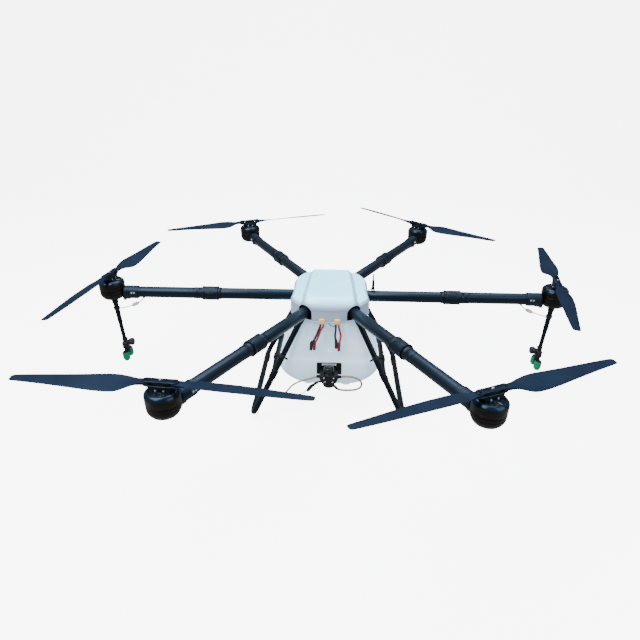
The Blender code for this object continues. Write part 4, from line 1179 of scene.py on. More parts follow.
def outline(azimuth):
    azimuth %= 360.0
    count = len(OUTLINE)
    for i, (start, radius) in enumerate(OUTLINE):
        end, end_radius = OUTLINE[(i + 1) % count]
        if end <= start:
            end += 360.0
        if start <= azimuth <= end:
            return catmull_rom(OUTLINE[i - 1][1], radius, end_radius, OUTLINE[(i + 2) % count][1],
                               (azimuth - start) / (end - start))


def soft_min(a, b, k):
    h = max(k - abs(a - b), 0.0) / k
    return min(a, b) - h * h * k * 0.25


def soft_max(a, b, k):
    return -soft_min(-a, -b, k)


def cover_z(x, y):
    """Height of the cover's top: a raised panel blended into the low shoulder."""
    azimuth = math.degrees(math.atan2(y, x))
    share = min(1.0, math.hypot(x, y) / outline(azimuth))
    low = interpolate(SHOULDER, share)[0]
    # panel: slightly crowned top with sloping flanks, narrower to the rear
    half_width = .0755 - .0300 * (y / .60) - .0030 * smooth_step(.06, .12, y)
    inside = half_width - abs(x)
    side = .0475 + .0335 * smooth_step(-.0220, .0050, inside) + .0016 * (1 - (x / .080) ** 2)
    # valley outside each crease, swell inside it, and soft dishes along the panel
    side += (-.0014 * math.exp(-((inside - .0150) / .0075) ** 2)
             + .0006 * math.exp(-((inside - .0030) / .0060) ** 2))
    side += -.0010 * math.exp(-((abs(x) - .022) / .016) ** 2)
    rear = .0475 + .0350 * smooth_step(-.0140, .0040, .1200 - y)
    # the front half rolls over towards the wall
    roll = .0900
    if math.sin(math.radians(azimuth)) < 0:
        t = max(0.0, (share - .70) / (1.0 - .70))
        roll = .0415 + .0412 * math.sqrt(max(0.0, 1 - t ** 2.2))
    panel = soft_min(soft_min(side, rear, .006), roll, .007)
    return soft_max(low, panel, .006)


def top_cover():
    count = 360
    verts = [(0, 0, cover_z(0, 0))]
    rows = [[0]]

    def row(point):
        rows.append(list(range(len(verts), len(verts) + count)))
        verts.extend(point(360.0 * j / count) for j in range(count))

    def surface(share, wall, drop):
        def point(azimuth):
            x, y = polar((outline(azimuth) - wall) * share, azimuth)
            return x, y, cover_z(x, y) - drop
        row(point)

    for share in [i / 56.0 * .90 for i in range(1, 57)] + [
            .912, .924, .935, .945, .954, .962, .970, .977, .983, .988, .992, .9955, .998, 1.0]:
        surface(share, 0.0, 0.0)
    # skirt: offset from the plan, height
    for offset, z in ((.0001, .0395), (-.0004, .0380), (-.0006, .0350), (-.0004, .0260),
                      (-.0002, .0160), (.0000, .0060), (.0001, .0005), (.0007, -.0003),
                      (.0008, -.0032), (.0003, -.0039), (-COVER_WALL, -.0039),
                      (-COVER_WALL, .0080), (-COVER_WALL, .0220), (-COVER_WALL, .0360)):
        row(lambda azimuth: (*polar(outline(azimuth) + offset, azimuth), z))
    # inner face
    for share in (1.0, .985, .96, .92, .86, .78, .68, .55, .40, .25, .12):
        surface(share, COVER_WALL, COVER_WALL * (1.0 + .6 * smooth_step(.9, 1.0, share)))
    rows.append([len(verts)])
    verts.append((0, 0, cover_z(0, 0) - COVER_WALL))
    shell, cutter, part = Shells(), Shells(), Shells()
    shell.add(verts, [(face[0],) + face[:0:-1] for face in skin(rows)], COVER)
    # arched openings for the arms
    opening_r, foot = .0278, -.040
    arch = ([(opening_r, foot)] + arc(0, ARM_Z, opening_r, range(0, 181, 6))
            + [(-opening_r, foot)])
    for azimuth in ARM_AZ.values():
        place = turn_z(azimuth)
        cutter.loft([[place @ Vector((x, y, z)) for y, z in arch] for x in (.1080, .2200)], COVER)
    part.take(carve(shell.as_object(), cutter.as_object()))
    return part


top_cover().finish("top_cover", "cover_plastic", sharp=32)


def arm_boots():
    """Rubber rings round the arms where they enter the cover."""
    part = Shells()
    flange_r = .0290
    boot_x = {"fl": .1510, "fr": .1510, "l": .1230, "r": .1230, "bl": .1640, "br": .1640}
    for arm in ARM_AZ:
        x = boot_x[arm]
        part.lathe([(.0202, x - .0050), (.0235, x - .0055), (flange_r, x - .0040),
                    (flange_r, x - .0022), (.0240, x - .0015), (.0222, x + .0030),
                    (.0214, x + .0036), (.0202, x + .0036)], RUBBER, 48, "X", arm_matrix(arm))
    return part


arm_boots().finish("arm_boots", "carbon_plate", cad=False)

# ================================================================ centre plates
FEET = [(.0915, -.1147), (-.0915, -.1147), (.098, .110), (-.098, .110)]
SADDLE_X = (.0865, .1115)
SADDLE_R = .0204


def plan_ring(count, scale, margin):
    """The cover's plan, scaled and drawn in."""
    return [polar(outline(azimuth) * scale - margin, azimuth)
            for azimuth in (360.0 * j / count for j in range(count))]


def saddle(part, profile, azimuth):
    part.loft([[(x, y, z) for y, z in profile] for x in SADDLE_X], COLLAR, turn_z(azimuth))


def lower_plate():
    part, blank, cutter = Shells(), Shells(), Shells()
    blank.prism(plan_ring(180, 1.0, .0068), 0.0, .0030, PLATE, .0004)
    # six windows round the centre
    for k in range(6):
        c, s = polar(1, 30 + 60 * k)
        cutter.prism([(.064 * c + x * c - y * s, .064 * s + x * s + y * c)
                      for x, y in rounded_rect(0, 0, .019, .013, .006, 5)], -.004, .008, PLATE)
    part.take(carve(blank.as_object(), cutter.as_object()))
    for x, y in FEET:
        part.turn([(.0146, .0001), (.0149, .0004), (.0149, .0026), (.0146, .0029)], PLATE, 32,
                  place=shift(x, y))
    # saddles under the arms, with through bolts
    profile = ([(-.0262, .0026), (.0262, .0026), (.0262, .0215), (.0245, .0250)]
               + arc(0, ARM_Z, SADDLE_R, range(-4, -177, -8)) + [(-.0245, .0250), (-.0262, .0215)])
    for azimuth in ARM_AZ.values():
        saddle(part, profile, azimuth)
        for x in (.0920, .1060):
            for side in (-1, 1):
                part.screw(turn_z(azimuth) @ Vector((x, side * .0235, -.0001)), (0, 0, -1),
                           .0026, .0016, DARK_STEEL)
    # stand-offs down to the tank
    for x, y in ((.045, -.075), (-.045, -.075), (.045, .075), (-.045, .075)):
        part.turn([(.0050, -.0245), (.0053, -.0240), (.0053, -.0006), (.0050, -.0001)], COLLAR,
                  24, place=shift(x, y))
    return part


def upper_plate():
    part, blank = Shells(), Shells()
    blank.prism(plan_ring(144, .92, .0107), .0490, .0515, PLATE, .0004)
    part.take(blank.as_object())
    profile = ([(-.0262, .0491), (-.0262, .0305), (-.0245, .0270)]
               + arc(0, ARM_Z, SADDLE_R, range(176, 3, -8))
               + [(.0245, .0270), (.0262, .0305), (.0262, .0491)])
    for azimuth in ARM_AZ.values():
        saddle(part, profile, azimuth)
    return part


def flight_controller():
    part = Shells()
    part.prism(rounded_rect(0, 0, .0300, .0460, .006, 6), .0518, .0692, GREY, .0012)
    part.prism(rounded_rect(0, 0, .0280, .0440, .006, 6), .0688, .0706, GREY, .0006)
    for i in range(7):
        y = -.0300 + i * .010
        part.box(-.0200, .0200, y - .0015, y + .0015, .0702, .0710, BLACK, .0004)
    for x in (-.0245, .0245):
        for y in (-.040, .040):
            part.screw((x, y, .0704), (0, 0, 1), .0020, .0005, DARK_STEEL)
    return part


lower_plate().finish("lower_plate", "carbon_plate", sharp=30)
upper_plate().finish("upper_plate", "carbon_plate", sharp=30)
flight_controller().finish("flight_controller", "controller_grey")

# ================================================================ spray tank
TANK = [  # z, half width, front y, rear y, corner radius
    (-.0262, .100, -.110, .106, .028), (-.0268, .104, -.114, .110, .030),
    (-.0290, .1085, -.1185, .1145, .031), (-.0330, .1115, -.1215, .1175, .032),
    (-.0600, .1240, -.1280, .1225, .036), (-.0900, .1400, -.1365, .1290, .041),
    (-.1240, .1590, -.1450, .1350, .046), (-.1420, .1640, -.1476, .1371, .049),
    (-.1470, .1654, -.1484, .1376, .050), (-.1510, .1676, -.1498, .1386, .050),
    (-.1550, .1702, -.1516, .1398, .051), (-.1590, .1727, -.1534, .1409, .052),
    (-.1630, .1746, -.1547, .1418, .052), (-.1690, .1762, -.1554, .1424, .053),
    (-.1800, .1780, -.1559, .1428, .054), (-.1950, .1790, -.1560, .1430, .056),
    (-.2050, .1785, -.1560, .1430, .057), (-.2150, .1762, -.1552, .1424, .058),
    (-.2280, .1690, -.1530, .1405, .060), (-.2400, .1590, -.1500, .1382, .061),
    (-.2520, .1455, -.1455, .1350, .062), (-.2600, .1335, -.1395, .1300, .061),
    (-.2645, .1210, -.1325, .1230, .060), (-.2660, .1100, -.1250, .1160, .058)]
TANK_ZS = ([-.0262, -.0268, -.0278, -.0290, -.0308, -.0330]
           + [-.0365 - .0035 * i for i in range(33)]
           + [-.1515, -.1530, -.1545, -.1556, -.1568, -.1580, -.1590, -.1604, -.1620, -.1660,
              -.1720, -.1800, -.1870, -.1950, -.2000, -.2050, -.2085, -.2120, -.2150, -.2190,
              -.2235, -.2280, -.2320, -.2360, -.2400, -.2440, -.2480, -.2520, -.2550, -.2578,
              -.2600, -.2620, -.2635, -.2648, -.2655, -.2660])
FILLER_Z = -.088


def tank_ring(z):
    """Level section: rounded corners joined by walls with wide shallow flutes near the top."""
    half_x, front, rear, r = interpolate(TANK, z)
    flute_depth = -.0064 * smooth_step(-.101, -.080, z)
    crown = .0016 * smooth_step(-.150, -.170, z)
    corners = ((half_x - r, rear - r), (-half_x + r, rear - r), (-half_x + r, front + r),
               (half_x - r, front + r))
    points = []
    for i, (cx, cy) in enumerate(corners):
        points += arc(cx, cy, r, [90 * i + 90.0 * k / 14 for k in range(14)])
        # the wall that follows: rear, left, front, right
        nx, ny = polar(1, 90 * i + 90)
        next_x, next_y = corners[(i + 1) % 4]
        x0, y0 = cx + r * nx, cy + r * ny
        x1, y1 = next_x + r * nx, next_y + r * ny
        side_wall = i in (1, 3)
        steps, flutes = (36, 1.25) if side_wall else (72, 2.5)
        for k in range(steps):
            w = k / steps
            u = 2 * w - 1
            fade = smooth_step(0.0, .05, w) * smooth_step(0.0, .05, 1 - w)
            out = flute_depth * (.5 + .5 * math.cos(2 * math.pi * flutes * u)) ** 1.5 * fade
            if side_wall:
                out += .0007 * math.exp(-(u / .022) ** 2)      # mould parting line
            out += crown * (1 - u * u)
            points.append((x0 + (x1 - x0) * w + nx * out, y0 + (y1 - y0) * w + ny * out))
    return [(x, y, z) for x, y in points]


def tank():
    def shrunk(ring, k, z):
        return [(x * k, y * k, z) for x, y, _ in ring]

    part = Shells()
    rings = [tank_ring(z) for z in TANK_ZS]
    part.loft([shrunk(rings[0], .55, -.0262), shrunk(rings[0], .97, -.0261)] + rings
              + [shrunk(rings[-1], .93, -.2666), shrunk(rings[-1], .50, -.2668)], TANK_WALL)
    # filler neck on the rear wall, and its closed bottom
    neck = shift(z=FILLER_Z)
    part.lathe([(.0340, .1180), (.0440, .1180), (.0428, .1290), (.0410, .1320), (.0400, .1350),
                (.0400, .1400), (.0405, .1405), (.0405, .1420), (.0400, .1425), (.0400, .1518),
                (.0362, .1518), (.0355, .1500)], TANK_WALL, 96, "Y", neck)
    part.turn([(.0345, .1200), (.0345, .1235)], TANK_WALL, 48, "Y", neck)
    # round mark on the front wall
    part.turn([(.0050, -.0008), (.0056, -.0004), (.0056, .004)], TANK_WALL, 32, "Y",
              shift(.001, -.1452, -.1235))
    # two lumps and a central boss under the floor
    for x, y, r in ((-.0740, -.1060, .0230), (.0620, -.1080, .0240), (0, .040, .020)):
        part.lathe([(0, -.2795), (r * .35, -.2791), (r * .70, -.2770), (r * .90, -.2730),
                    (r, -.2670), (r, -.2560), (0, -.2560)], TANK_WALL, place=shift(x, y))
    # short bars moulded on the right wall, alternately long and short
    for i in range(8):
        z = -.110 - i * .012
        wall_x = interpolate(TANK, z)[0]
        length = .010 if i % 2 == 0 else .006
        part.box(wall_x - .003, wall_x + .0006, -.052 - length, -.052, z - .0006, z + .0006,
                 TANK_WALL, .0002)
    return part


def tank_cap():
    part = Shells()
    centre = shift(z=FILLER_Z)

    def knurl(angle, height, radius):
        if radius > .0440 and .1545 < height < .1652:
            return -.0007 * (.5 + .5 * math.cos(60 * angle)) ** 2
        return 0.0

    part.lathe([(0, .1523), (.0432, .1523), (.0442, .1527), (.0448, .1536), (.0450, .1548),
                (.0450, .1560), (.0450, .1630), (.0450, .1648), (.0445, .1664), (.0434, .1677),
                (.0420, .1680), (.0352, .1680), (.0340, .1674), (.0330, .1655), (.0322, .1648),
                (.0120, .1644), (.0100, .1650), (0, .1652)], BLACK, 240, "Y", centre, knurl)
    # two crossed grip wings, outlined in X and Z and standing up along Y
    half = [(-.0335, -.0030), (-.0320, -.0045), (-.0110, -.0045), (-.0060, -.0038),
            (.0060, -.0038), (.0110, -.0045), (.0320, -.0045), (.0335, -.0030)]
    for degrees in (0, 90):
        place = centre @ Matrix.Rotation(math.radians(degrees), 4, "Y")
        wing = [place @ Vector((x, 0, z)) for x, z in half + [(-x, -z) for x, z in half]]
        part.loft([[(p.x * kx, y, FILLER_Z + (p.z - FILLER_Z) * kz) for p in wing]
                   for y, kx, kz in ((.1640, 1, 1), (.1728, 1, 1), (.1738, .97, .90))], BLACK)
    # small drum in the middle
    part.turn([(.0060, .1640), (.0064, .1735), (.0056, .1742), (.0030, .1742), (.0026, .1736)],
              RUBBER, 32, "Y", centre)
    return part


tank().finish("tank", "tank_hdpe", sharp=45)
tank_cap().finish("tank_cap", "cap_black", "tank_cap", sharp=35)

# ================================================================ pump, in front of the tank
PUMP_X, PUMP_Y = .0015, -.1905


def pump_bracket():
    part = Shells()
    # the plate stands in X and Z: built flat, then Y and Z change places
    upright = Matrix(((1, 0, 0, 0), (0, 0, 1, 0), (0, 1, 0, 0), (0, 0, 0, 1)))
    part.prism(rounded_rect(PUMP_X, -.1875, .0440, .0235, .0030, 4), -.1594, -.1566, BLACK,
               .0005, upright)
    # block that carries the motor, and a rib with two screws on each side
    part.prism(rounded_rect(PUMP_X, -.1910, .0158, .0150, .0020, 3), -.1680, -.1588, BLACK,
               .0008, upright)
    for side in (-1, 1):
        outer_x, inner_x = PUMP_X + side * .0400, PUMP_X + side * .0374
        part.prism([(outer_x, -.2085), (outer_x, -.1665), (inner_x, -.1665), (inner_x, -.2085)],
                   -.1618, -.1590, BLACK, .0003, upright)
        for z in (-.1690, -.2062):
            part.screw((PUMP_X + side * .0320, -.1592, z), (0, -1, 0), .0027, .0018, DARK_STEEL)
    # blank curved label
    shares = [-1 + i / 8.0 for i in range(17)]
    upper = [(PUMP_X + .0255 * u, -.1668 - .0004 * u * u) for u in shares]
    lower = [(PUMP_X + .0255 * u, -.1722 - .0030 * u * u) for u in shares]
    part.prism(upper + lower[::-1], -.1604, -.1592, LABEL, .0002, upright)
    return part


def pump_motor(part):
    def vents(angle, height, radius):
        if radius > .0185 and -.1800 < height < -.1700:
            return -.0008 * (max(0.0, math.cos(8 * angle)) ** 4)
        return 0.0

    part.turn([(.0192, -.1868), (.0195, -.1860), (.0195, -.1835), (.0188, -.1828),
               (.0188, -.1800), (.0188, -.1780), (.0188, -.1700), (.0188, -.1660),
               (.0183, -.1643), (.0170, -.1627), (.0155, -.1618), (.0095, -.1613),
               (.0088, -.1603), (.0085, -.1593), (.0040, -.1591)], GLOSS, 96,
              place=shift(PUMP_X, PUMP_Y), ripple=vents)
    # terminal posts
    for side in (-1, 1):
        x = PUMP_X + side * .0120
        part.box(x - .0012, x + .0012, PUMP_Y - .0006, PUMP_Y + .0006, -.1625, -.1590,
                 DARK_STEEL, .0002)


def pump_head(part):
    """Stepped housing, tapered head with four screws in front, and a round foot."""
    def outline_at(half_x, half_y, r):
        return rounded_rect(PUMP_X, PUMP_Y - .0015, half_x, half_y, r, 6)

    part.prism(outline_at(.0316, .0222, .0080), -.1900, -.1850, BLACK, .0008)
    part.prism(outline_at(.0290, .0205, .0075), -.1930, -.1892, BLACK, .0004)
    part.loft([[(x, y, z) for x, y in outline_at(half_x, half_y, r)]
               for z, half_x, half_y, r in (
                   (-.1924, .0300, .0214, .0074), (-.1932, .0320, .0225, .0080),
                   (-.2010, .0320, .0225, .0080), (-.2080, .0292, .0225, .0080),
                   (-.2150, .0262, .0222, .0080), (-.2160, .0250, .0212, .0076))], BLACK)
    lug = [(.0048, -.0250), (.0054, -.0244), (.0054, -.0200)]
    for side in (-1, 1):
        for z, offset in ((-.1915, .0168), (-.2070, .0134)):
            x = PUMP_X + side * offset
            part.turn([(r, PUMP_Y + y) for r, y in lug], BLACK, 28, "Y", shift(x, 0, z))
            part.screw((x, PUMP_Y - .0249, z), (0, -1, 0), .0031, .0014)
    # ribs down the front
    for i in range(5):
        x = PUMP_X - .0060 + i * .0030
        part.box(x - .0006, x + .0006, PUMP_Y - .0246, PUMP_Y - .0230, -.2125, -.1965, BLACK,
                 .0002)
    part.turn([(.0150, -.2375), (.0165, -.2369), (.0200, -.2357), (.0208, -.2343),
               (.0212, -.2305), (.0206, -.2299), (.0206, -.2281), (.0215, -.2273),
               (.0220, -.2165)], BLACK, 72, place=shift(PUMP_X, PUMP_Y),
              ripple=lambda angle, height, radius:
              -.0006 * max(0.0, math.cos(9 * angle)) ** 2 if radius > .0205 else 0.0)
    for i in range(4):
        x, y = polar(.0155, 45 + 90 * i)
        part.screw((PUMP_X + x, PUMP_Y + y, -.2369), (0, 0, -1), .0022, .0010)


def pump():
    part = Shells()
    pump_motor(part)
    pump_head(part)
    # barbed ports, left and right
    port = [(.0075, .0300), (.0080, .0306), (.0080, .0330), (.0056, .0334), (.0056, .0345),
            (.0062, .0350), (.0048, .0375), (.0060, .0380), (.0046, .0405), (.0058, .0410),
            (.0044, .0436), (.0030, .0438)]
    for degrees in (180, 0):
        part.turn(port, BLACK, 32, "X", shift(PUMP_X, PUMP_Y, -.2010) @ turn_z(degrees))
    return part


def connector_radius(u):
    """Stepped radius of the in-line connector along its length, u from 0 to 1."""
    steps = ((.12, .0044), (.28, .0052), (.40, .0046), (.55, .0060), (.62, .0056), (.94, .0068))
    return next((radius for end, radius in steps if u < end), .0058)


def pump_hoses():
    part = Shells()
    # loop out of the right port, round and back under the pump
    part.pipe(smooth_path([
        (PUMP_X + .0400, PUMP_Y, -.2010), (.0600, -.1860, -.2020), (.0860, -.1800, -.2080),
        (.1060, -.1760, -.2190), (.1170, -.1745, -.2340), (.1165, -.1740, -.2480),
        (.1080, -.1755, -.2580), (.0900, -.1780, -.2630), (.0620, -.1840, -.2610),
        (.0400, -.1880, -.2560), (.0250, -.1905, -.2470)]), .0036, TAN, 18)
    # elbow where it comes back into the pump's foot
    part.pipe(smooth_path([(.0140, PUMP_Y, -.2330), (.0190, PUMP_Y, -.2380),
                           (.0250, -.1902, -.2440), (.0310, -.1892, -.2510)], 6),
              [.0056] * 7 + [.0050] * 6 + [.0045] * 6, GLOSS, 20)
    # left hose, out and down to the left front leg
    part.pipe(smooth_path([
        (PUMP_X - .0400, PUMP_Y, -.2010), (-.0550, -.1900, -.2080), (-.0800, -.1890, -.2170),
        (-.1080, -.1880, -.2290), (-.1300, -.1880, -.2450), (-.1440, -.1905, -.2620),
        (-.1580, -.1940, -.2750), (-.1850, -.2020, -.2775), (-.2120, -.2110, -.2725),
        (-.2300, -.2190, -.2690)]), .0031, TAN)
    # connector on the left: black stepped body, blue collet, then a thin milky line
    part.pipe(smooth_path([(-.0170, -.1860, -.2250), (-.0290, -.1835, -.2270),
                           (-.0400, -.1815, -.2325)], 6), .0034, BLACK, 18)
    axis = smooth_path([(-.0390, -.1815, -.2320), (-.0470, -.1815, -.2375),
                        (-.0560, -.1810, -.2450), (-.0640, -.1805, -.2540),
                        (-.0700, -.1800, -.2625)], 6)
    last = len(axis) - 1.0
    part.pipe(axis, [connector_radius(i / last) for i in range(len(axis))], GLOSS, 24)
    end = axis[-1]
    part.pipe([end, end + Vector((-.0030, 0, -.0036)), end + Vector((-.0056, 0, -.0068))],
              [.0060, .0060, .0050], BLUE, 24)
    part.pipe(smooth_path([
        end + Vector((-.0050, 0, -.0060)), (-.0840, -.1805, -.2745), (-.0950, -.1830, -.2800),
        (-.1200, -.1900, -.2815), (-.1600, -.1995, -.2800), (-.2050, -.2110, -.2770),
        (-.2310, -.2210, -.2725)], 8), .0016, MILKY, 12)
    # two ties round the left front leg
    leg_run = Vector((-.1745, -.1333, -.336))
    along = leg_run.normalized()
    for z in (-.2695, -.2725):
        centre = Vector((*FEET[1], 0)) + leg_run * (z / leg_run.z)
        part.pipe([centre + along * t for t in (-.0014, -.0010, .0010, .0014)],
                  [.0100, .0106, .0106, .0100], RUBBER, 36)
    return part


pump_bracket().finish("pump_bracket", "pump_black")
pump().finish("pump", "pump_black", sharp=35)
pump_hoses().finish("pump_hoses", "pump_black", cad=False)

# ================================================================ battery leads
PLUG_Y = -.1731


def battery_lead(x, mids, ends):
    """Yellow plug before the cover's wall, and a black and a red cable; mids, ends are (x, z)."""
    part = Shells()
    ring = [(x - .0105, -.1780), (x - .0088, -.1790), (x + .0088, -.1790), (x + .0105, -.1780),
            (x + .0105, -.1680), (x + .0088, -.1672), (x - .0088, -.1672), (x - .0105, -.1680)]
    part.prism(ring, -.0012, .0092, YELLOW, .0009)
    part.prism([(px * .94 + x * .06, PLUG_Y + (py - PLUG_Y) * .92) for px, py in ring],
               .0086, .0142, YELLOW, .0008)
    # grip ribs
    for i in range(4):
        z = .0008 + i * .0020
        part.box(x - .0080, x + .0080, -.1795, -.1786, z - .0006, z + .0006, YELLOW, .0003)
    for side in (-1, 1):
        part.turn([(.0036, -.0042), (.0043, -.0034), (.0043, -.0010)], YELLOW, 28,
                  place=shift(x + side * .0050, PLUG_Y))
    for side, (mid_x, mid_z), (end_x, end_z), sheath, sleeve in zip(
            (-1, 1), mids, ends, (CABLE, RED), (CABLE, DARK_RED)):
        back = mid_x - end_x
        part.pipe(smooth_path([
            (x + side * .0050, PLUG_Y, -.0020), (x + side * .0051, PLUG_Y, -.0120),
            (x + (mid_x - x) * .55 + side * .0015, -.1712, -.0300), (mid_x, -.1682, mid_z),
            (end_x + back * .40, -.1645, mid_z + (end_z - mid_z) * .42),
            (end_x + back * .14, -.1622, end_z + .0300)], 9), .0036, sheath, 22)
        # thicker sleeve at the end, with a black tip
        path = smooth_path([
            (end_x + back * .17, -.1625, end_z + .0345), (end_x + back * .10, -.1620, end_z + .0280),
            (end_x + back * .04, -.1608, end_z + .0140), (end_x, -.1600, end_z)], 6)
        radii = [.0038 + .0018 * smooth_step(0, 6, i) for i in range(len(path) - 1)] + [.0049]
        part.pipe(path, radii, sleeve, 26)
        along = (path[-1] - path[-2]).normalized()
        part.pipe([path[-1] + along * t for t in (-.001, .0018, .0022)],
                  [.0038, .0038, .0032], BLACK, 24)
    return part


def signal_cable():
    """Thin black cable that hangs between the plugs."""
    part = Shells()
    part.pipe(smooth_path([
        (-.0080, -.1540, .0010), (-.0030, -.1600, -.0060), (.0040, -.1650, -.0115),
        (.0120, -.1680, -.0145), (.0180, -.1700, -.0120), (.0215, -.1725, -.0060),
        (.0225, PLUG_Y, -.0010)], 8), .0014, CABLE, 12)
    return part


battery_lead(-.0250, ((-.0430, -.050), (-.0350, -.050)), ((-.0625, -.1115), (-.0510, -.1105))
             ).finish("battery_lead_left", "battery_lead")
battery_lead(.0275, ((.0205, -.050), (.0400, -.050)), ((.0248, -.1025), (.0345, -.1125))
             ).finish("battery_lead_right", "battery_lead")
signal_cable().finish("signal_cable", "battery_lead", cad=False)


# ================================================================ antenna
def antenna():
    part = Shells()
    mast = shift(.1540, .0120)
    part.box(.1475, .1605, -.0080, .0180, .0465, .0500, BLACK)
    part.box(.1490, .1590, -.0070, .0000, .0498, .0510, LABEL, .0003)
    for y in (-.0040, .0158):
        part.screw((.1580, y, .0499), (0, 0, 1), .0012, .0007)
    part.turn([(.0050, .0495), (.0053, .0500), (.0053, .0560), (.0052, .0568), (.0050, .0574),
               (.0049, .0620), (.0047, .0800), (.0042, .0822), (.0030, .0834), (.0027, .0842)],
              BLACK, 32, place=mast, ripple=lambda angle, height, radius:
              -.0003 * max(0.0, math.cos(10 * angle)) if .0500 <= height <= .0541 else 0.0)
    part.turn([(.0026, .0835), (.0024, .1060), (.0020, .1074), (.0012, .1080)], RUBBER, 24,
              place=mast)
    # lead from its foot into the cover
    part.pipe(smooth_path([(.1490, .0040, .0490), (.1440, .0060, .0500), (.1390, .0090, .0470),
                           (.1350, .0110, .0440)], 6), .0013, CABLE, 12)
    return part


antenna().finish("antenna", "lance_black")

# ================================================================ landing gear, right-hand side
SKID_X, SKID_Y0, SKID_Y1, Z_SKID = .266, -.248, .218, -.3360
RAIL_X, Z_RAIL = .193, -.194
FRONT_TOP, REAR_TOP = Vector((*FEET[0], -.0003)), Vector((*FEET[2], -.0003))
FRONT_END, REAR_END = Vector((SKID_X, SKID_Y0, Z_SKID)), Vector((SKID_X, SKID_Y1, Z_SKID))
FRONT_BEND = bend_path(FRONT_TOP, FRONT_END, REAR_END, .026, 10)
REAR_BEND = bend_path(FRONT_END, REAR_END, REAR_TOP, .026, 10)


def leg_tube(part):
    """One tube down the front leg, back along the skid and up the rear leg."""
    def run(start, end, first, last):
        return [start.lerp(end, i / 14.0) for i in range(first, last)]

    part.pipe([FRONT_TOP.lerp(FRONT_END, .030)] + run(FRONT_TOP, FRONT_END, 1, 13) + FRONT_BEND
              + run(FRONT_END, REAR_END, 2, 13) + REAR_BEND + run(REAR_END, REAR_TOP, 2, 14)
              + [REAR_END.lerp(REAR_TOP, .970)], .0103, LEG, 36)
    # sockets under the lower plate: flange, tapered ferrule, four screws
    for top, end in ((FRONT_TOP, FRONT_END), (REAR_TOP, REAR_END)):
        part.turn([(.0135, -.0056), (.0145, -.0048), (.0145, -.0010), (.0140, -.0004)], COLLAR,
                  place=shift(top.x, top.y))
        along = (end - top).normalized()
        part.pipe([top + along * t for t in (.0020, .0060, .0150, .0280, .0300, .0320)],
                  [.0126, .0126, .0122, .0118, .0114, .0104], COLLAR, 36)
        for i in range(4):
            x, y = polar(.011956, 45 + 90 * i)
            part.screw((top.x + x, top.y + y, -.0054), (0, 0, -1), .0015, .0008)


def leg_rail(part):
    """Rail between the legs, with a tee clamp at each end."""
    def on_leg(top, end):
        return top.lerp(end, (Z_RAIL - top.z) / (end.z - top.z))

    front, rear = on_leg(FRONT_TOP, FRONT_END), on_leg(REAR_TOP, REAR_END)
    start = Vector((front.x - .001, front.y - .004, Z_RAIL))
    end = Vector((rear.x - .001, rear.y + .004, Z_RAIL))
    corner0, corner1 = Vector((RAIL_X, -.100, Z_RAIL)), Vector((RAIL_X, .100, Z_RAIL))
    part.pipe([start, start.lerp(corner0, .5)] + bend_path(start, corner0, corner1, .040)
              + [corner0.lerp(corner1, i / 8.0) for i in range(1, 8)]
              + bend_path(corner0, corner1, end, .040) + [end.lerp(corner1, .5), end],
              .0100, LEG, 32)
    for top, low, joint, corner in ((FRONT_TOP, FRONT_END, front, corner0),
                                    (REAR_TOP, REAR_END, rear, corner1)):
        along = (low - top).normalized()
        part.pipe([joint + along * t for t in (-.0170, -.0158, -.0150, .0150, .0158, .0170)],
                  [.0112, .0121, .0123, .0123, .0121, .0112], LEG, 32)
        branch = (corner - joint).normalized()
        part.pipe([joint + branch * t for t in (.0060, .0220, .0232, .0240)],
                  [.0112, .0111, .0108, .0102], LEG, 28)
        normal = along.cross(branch).normalized()
        for t in (-.0095, .0095):
            for side in (-1, 1):
                part.screw(joint + along * t + normal * side * .0120, normal * side,
                           .0018, .0010, DARK_STEEL)


def leg_fittings(part):
    # peg on the front leg, pointing in and down, and its collar
    root = FRONT_TOP.lerp(FRONT_END, .400)
    peg = Vector((-.0145, 0, -.0120)).normalized()
    part.pipe([root + peg * t for t in (0, .0125, .0130, .0140, .0205, .0212)],
              [.0024, .0024, .0032, .0038, .0038, .0030], BLACK, 20)
    along = (FRONT_END - FRONT_TOP).normalized()
    part.pipe([root + along * t for t in (-.0062, -.0056, .0056, .0062)],
              [.0104, .0112, .0112, .0104], BLACK, 32)
    # split clamps on the rail, each with a short pin towards the tank
    for y in (-.070, .080):
        half = [(.0098, y - .0130), (.0126, y - .0130), (.0132, y - .0122), (.0132, y - .0050),
                (.0126, y - .0044)]
        part.lathe(mirrored(half, y), BLACK, 48, "Y", shift(RAIL_X, 0, Z_RAIL))
        part.turn([(.0026, .1802), (.0032, .1808), (.0032, .1835), (.0034, .1840),
                   (.0034, .1880)], BLACK, 24, "X", shift(0, y, Z_RAIL - .002))
        for dy in (-.0088, .0088):
            for side, head in ((1, .0010), (-1, .0008)):
                part.screw((RAIL_X, y + dy, Z_RAIL + side * .0128), (0, 0, side), .0020, head,
                           DARK_STEEL)


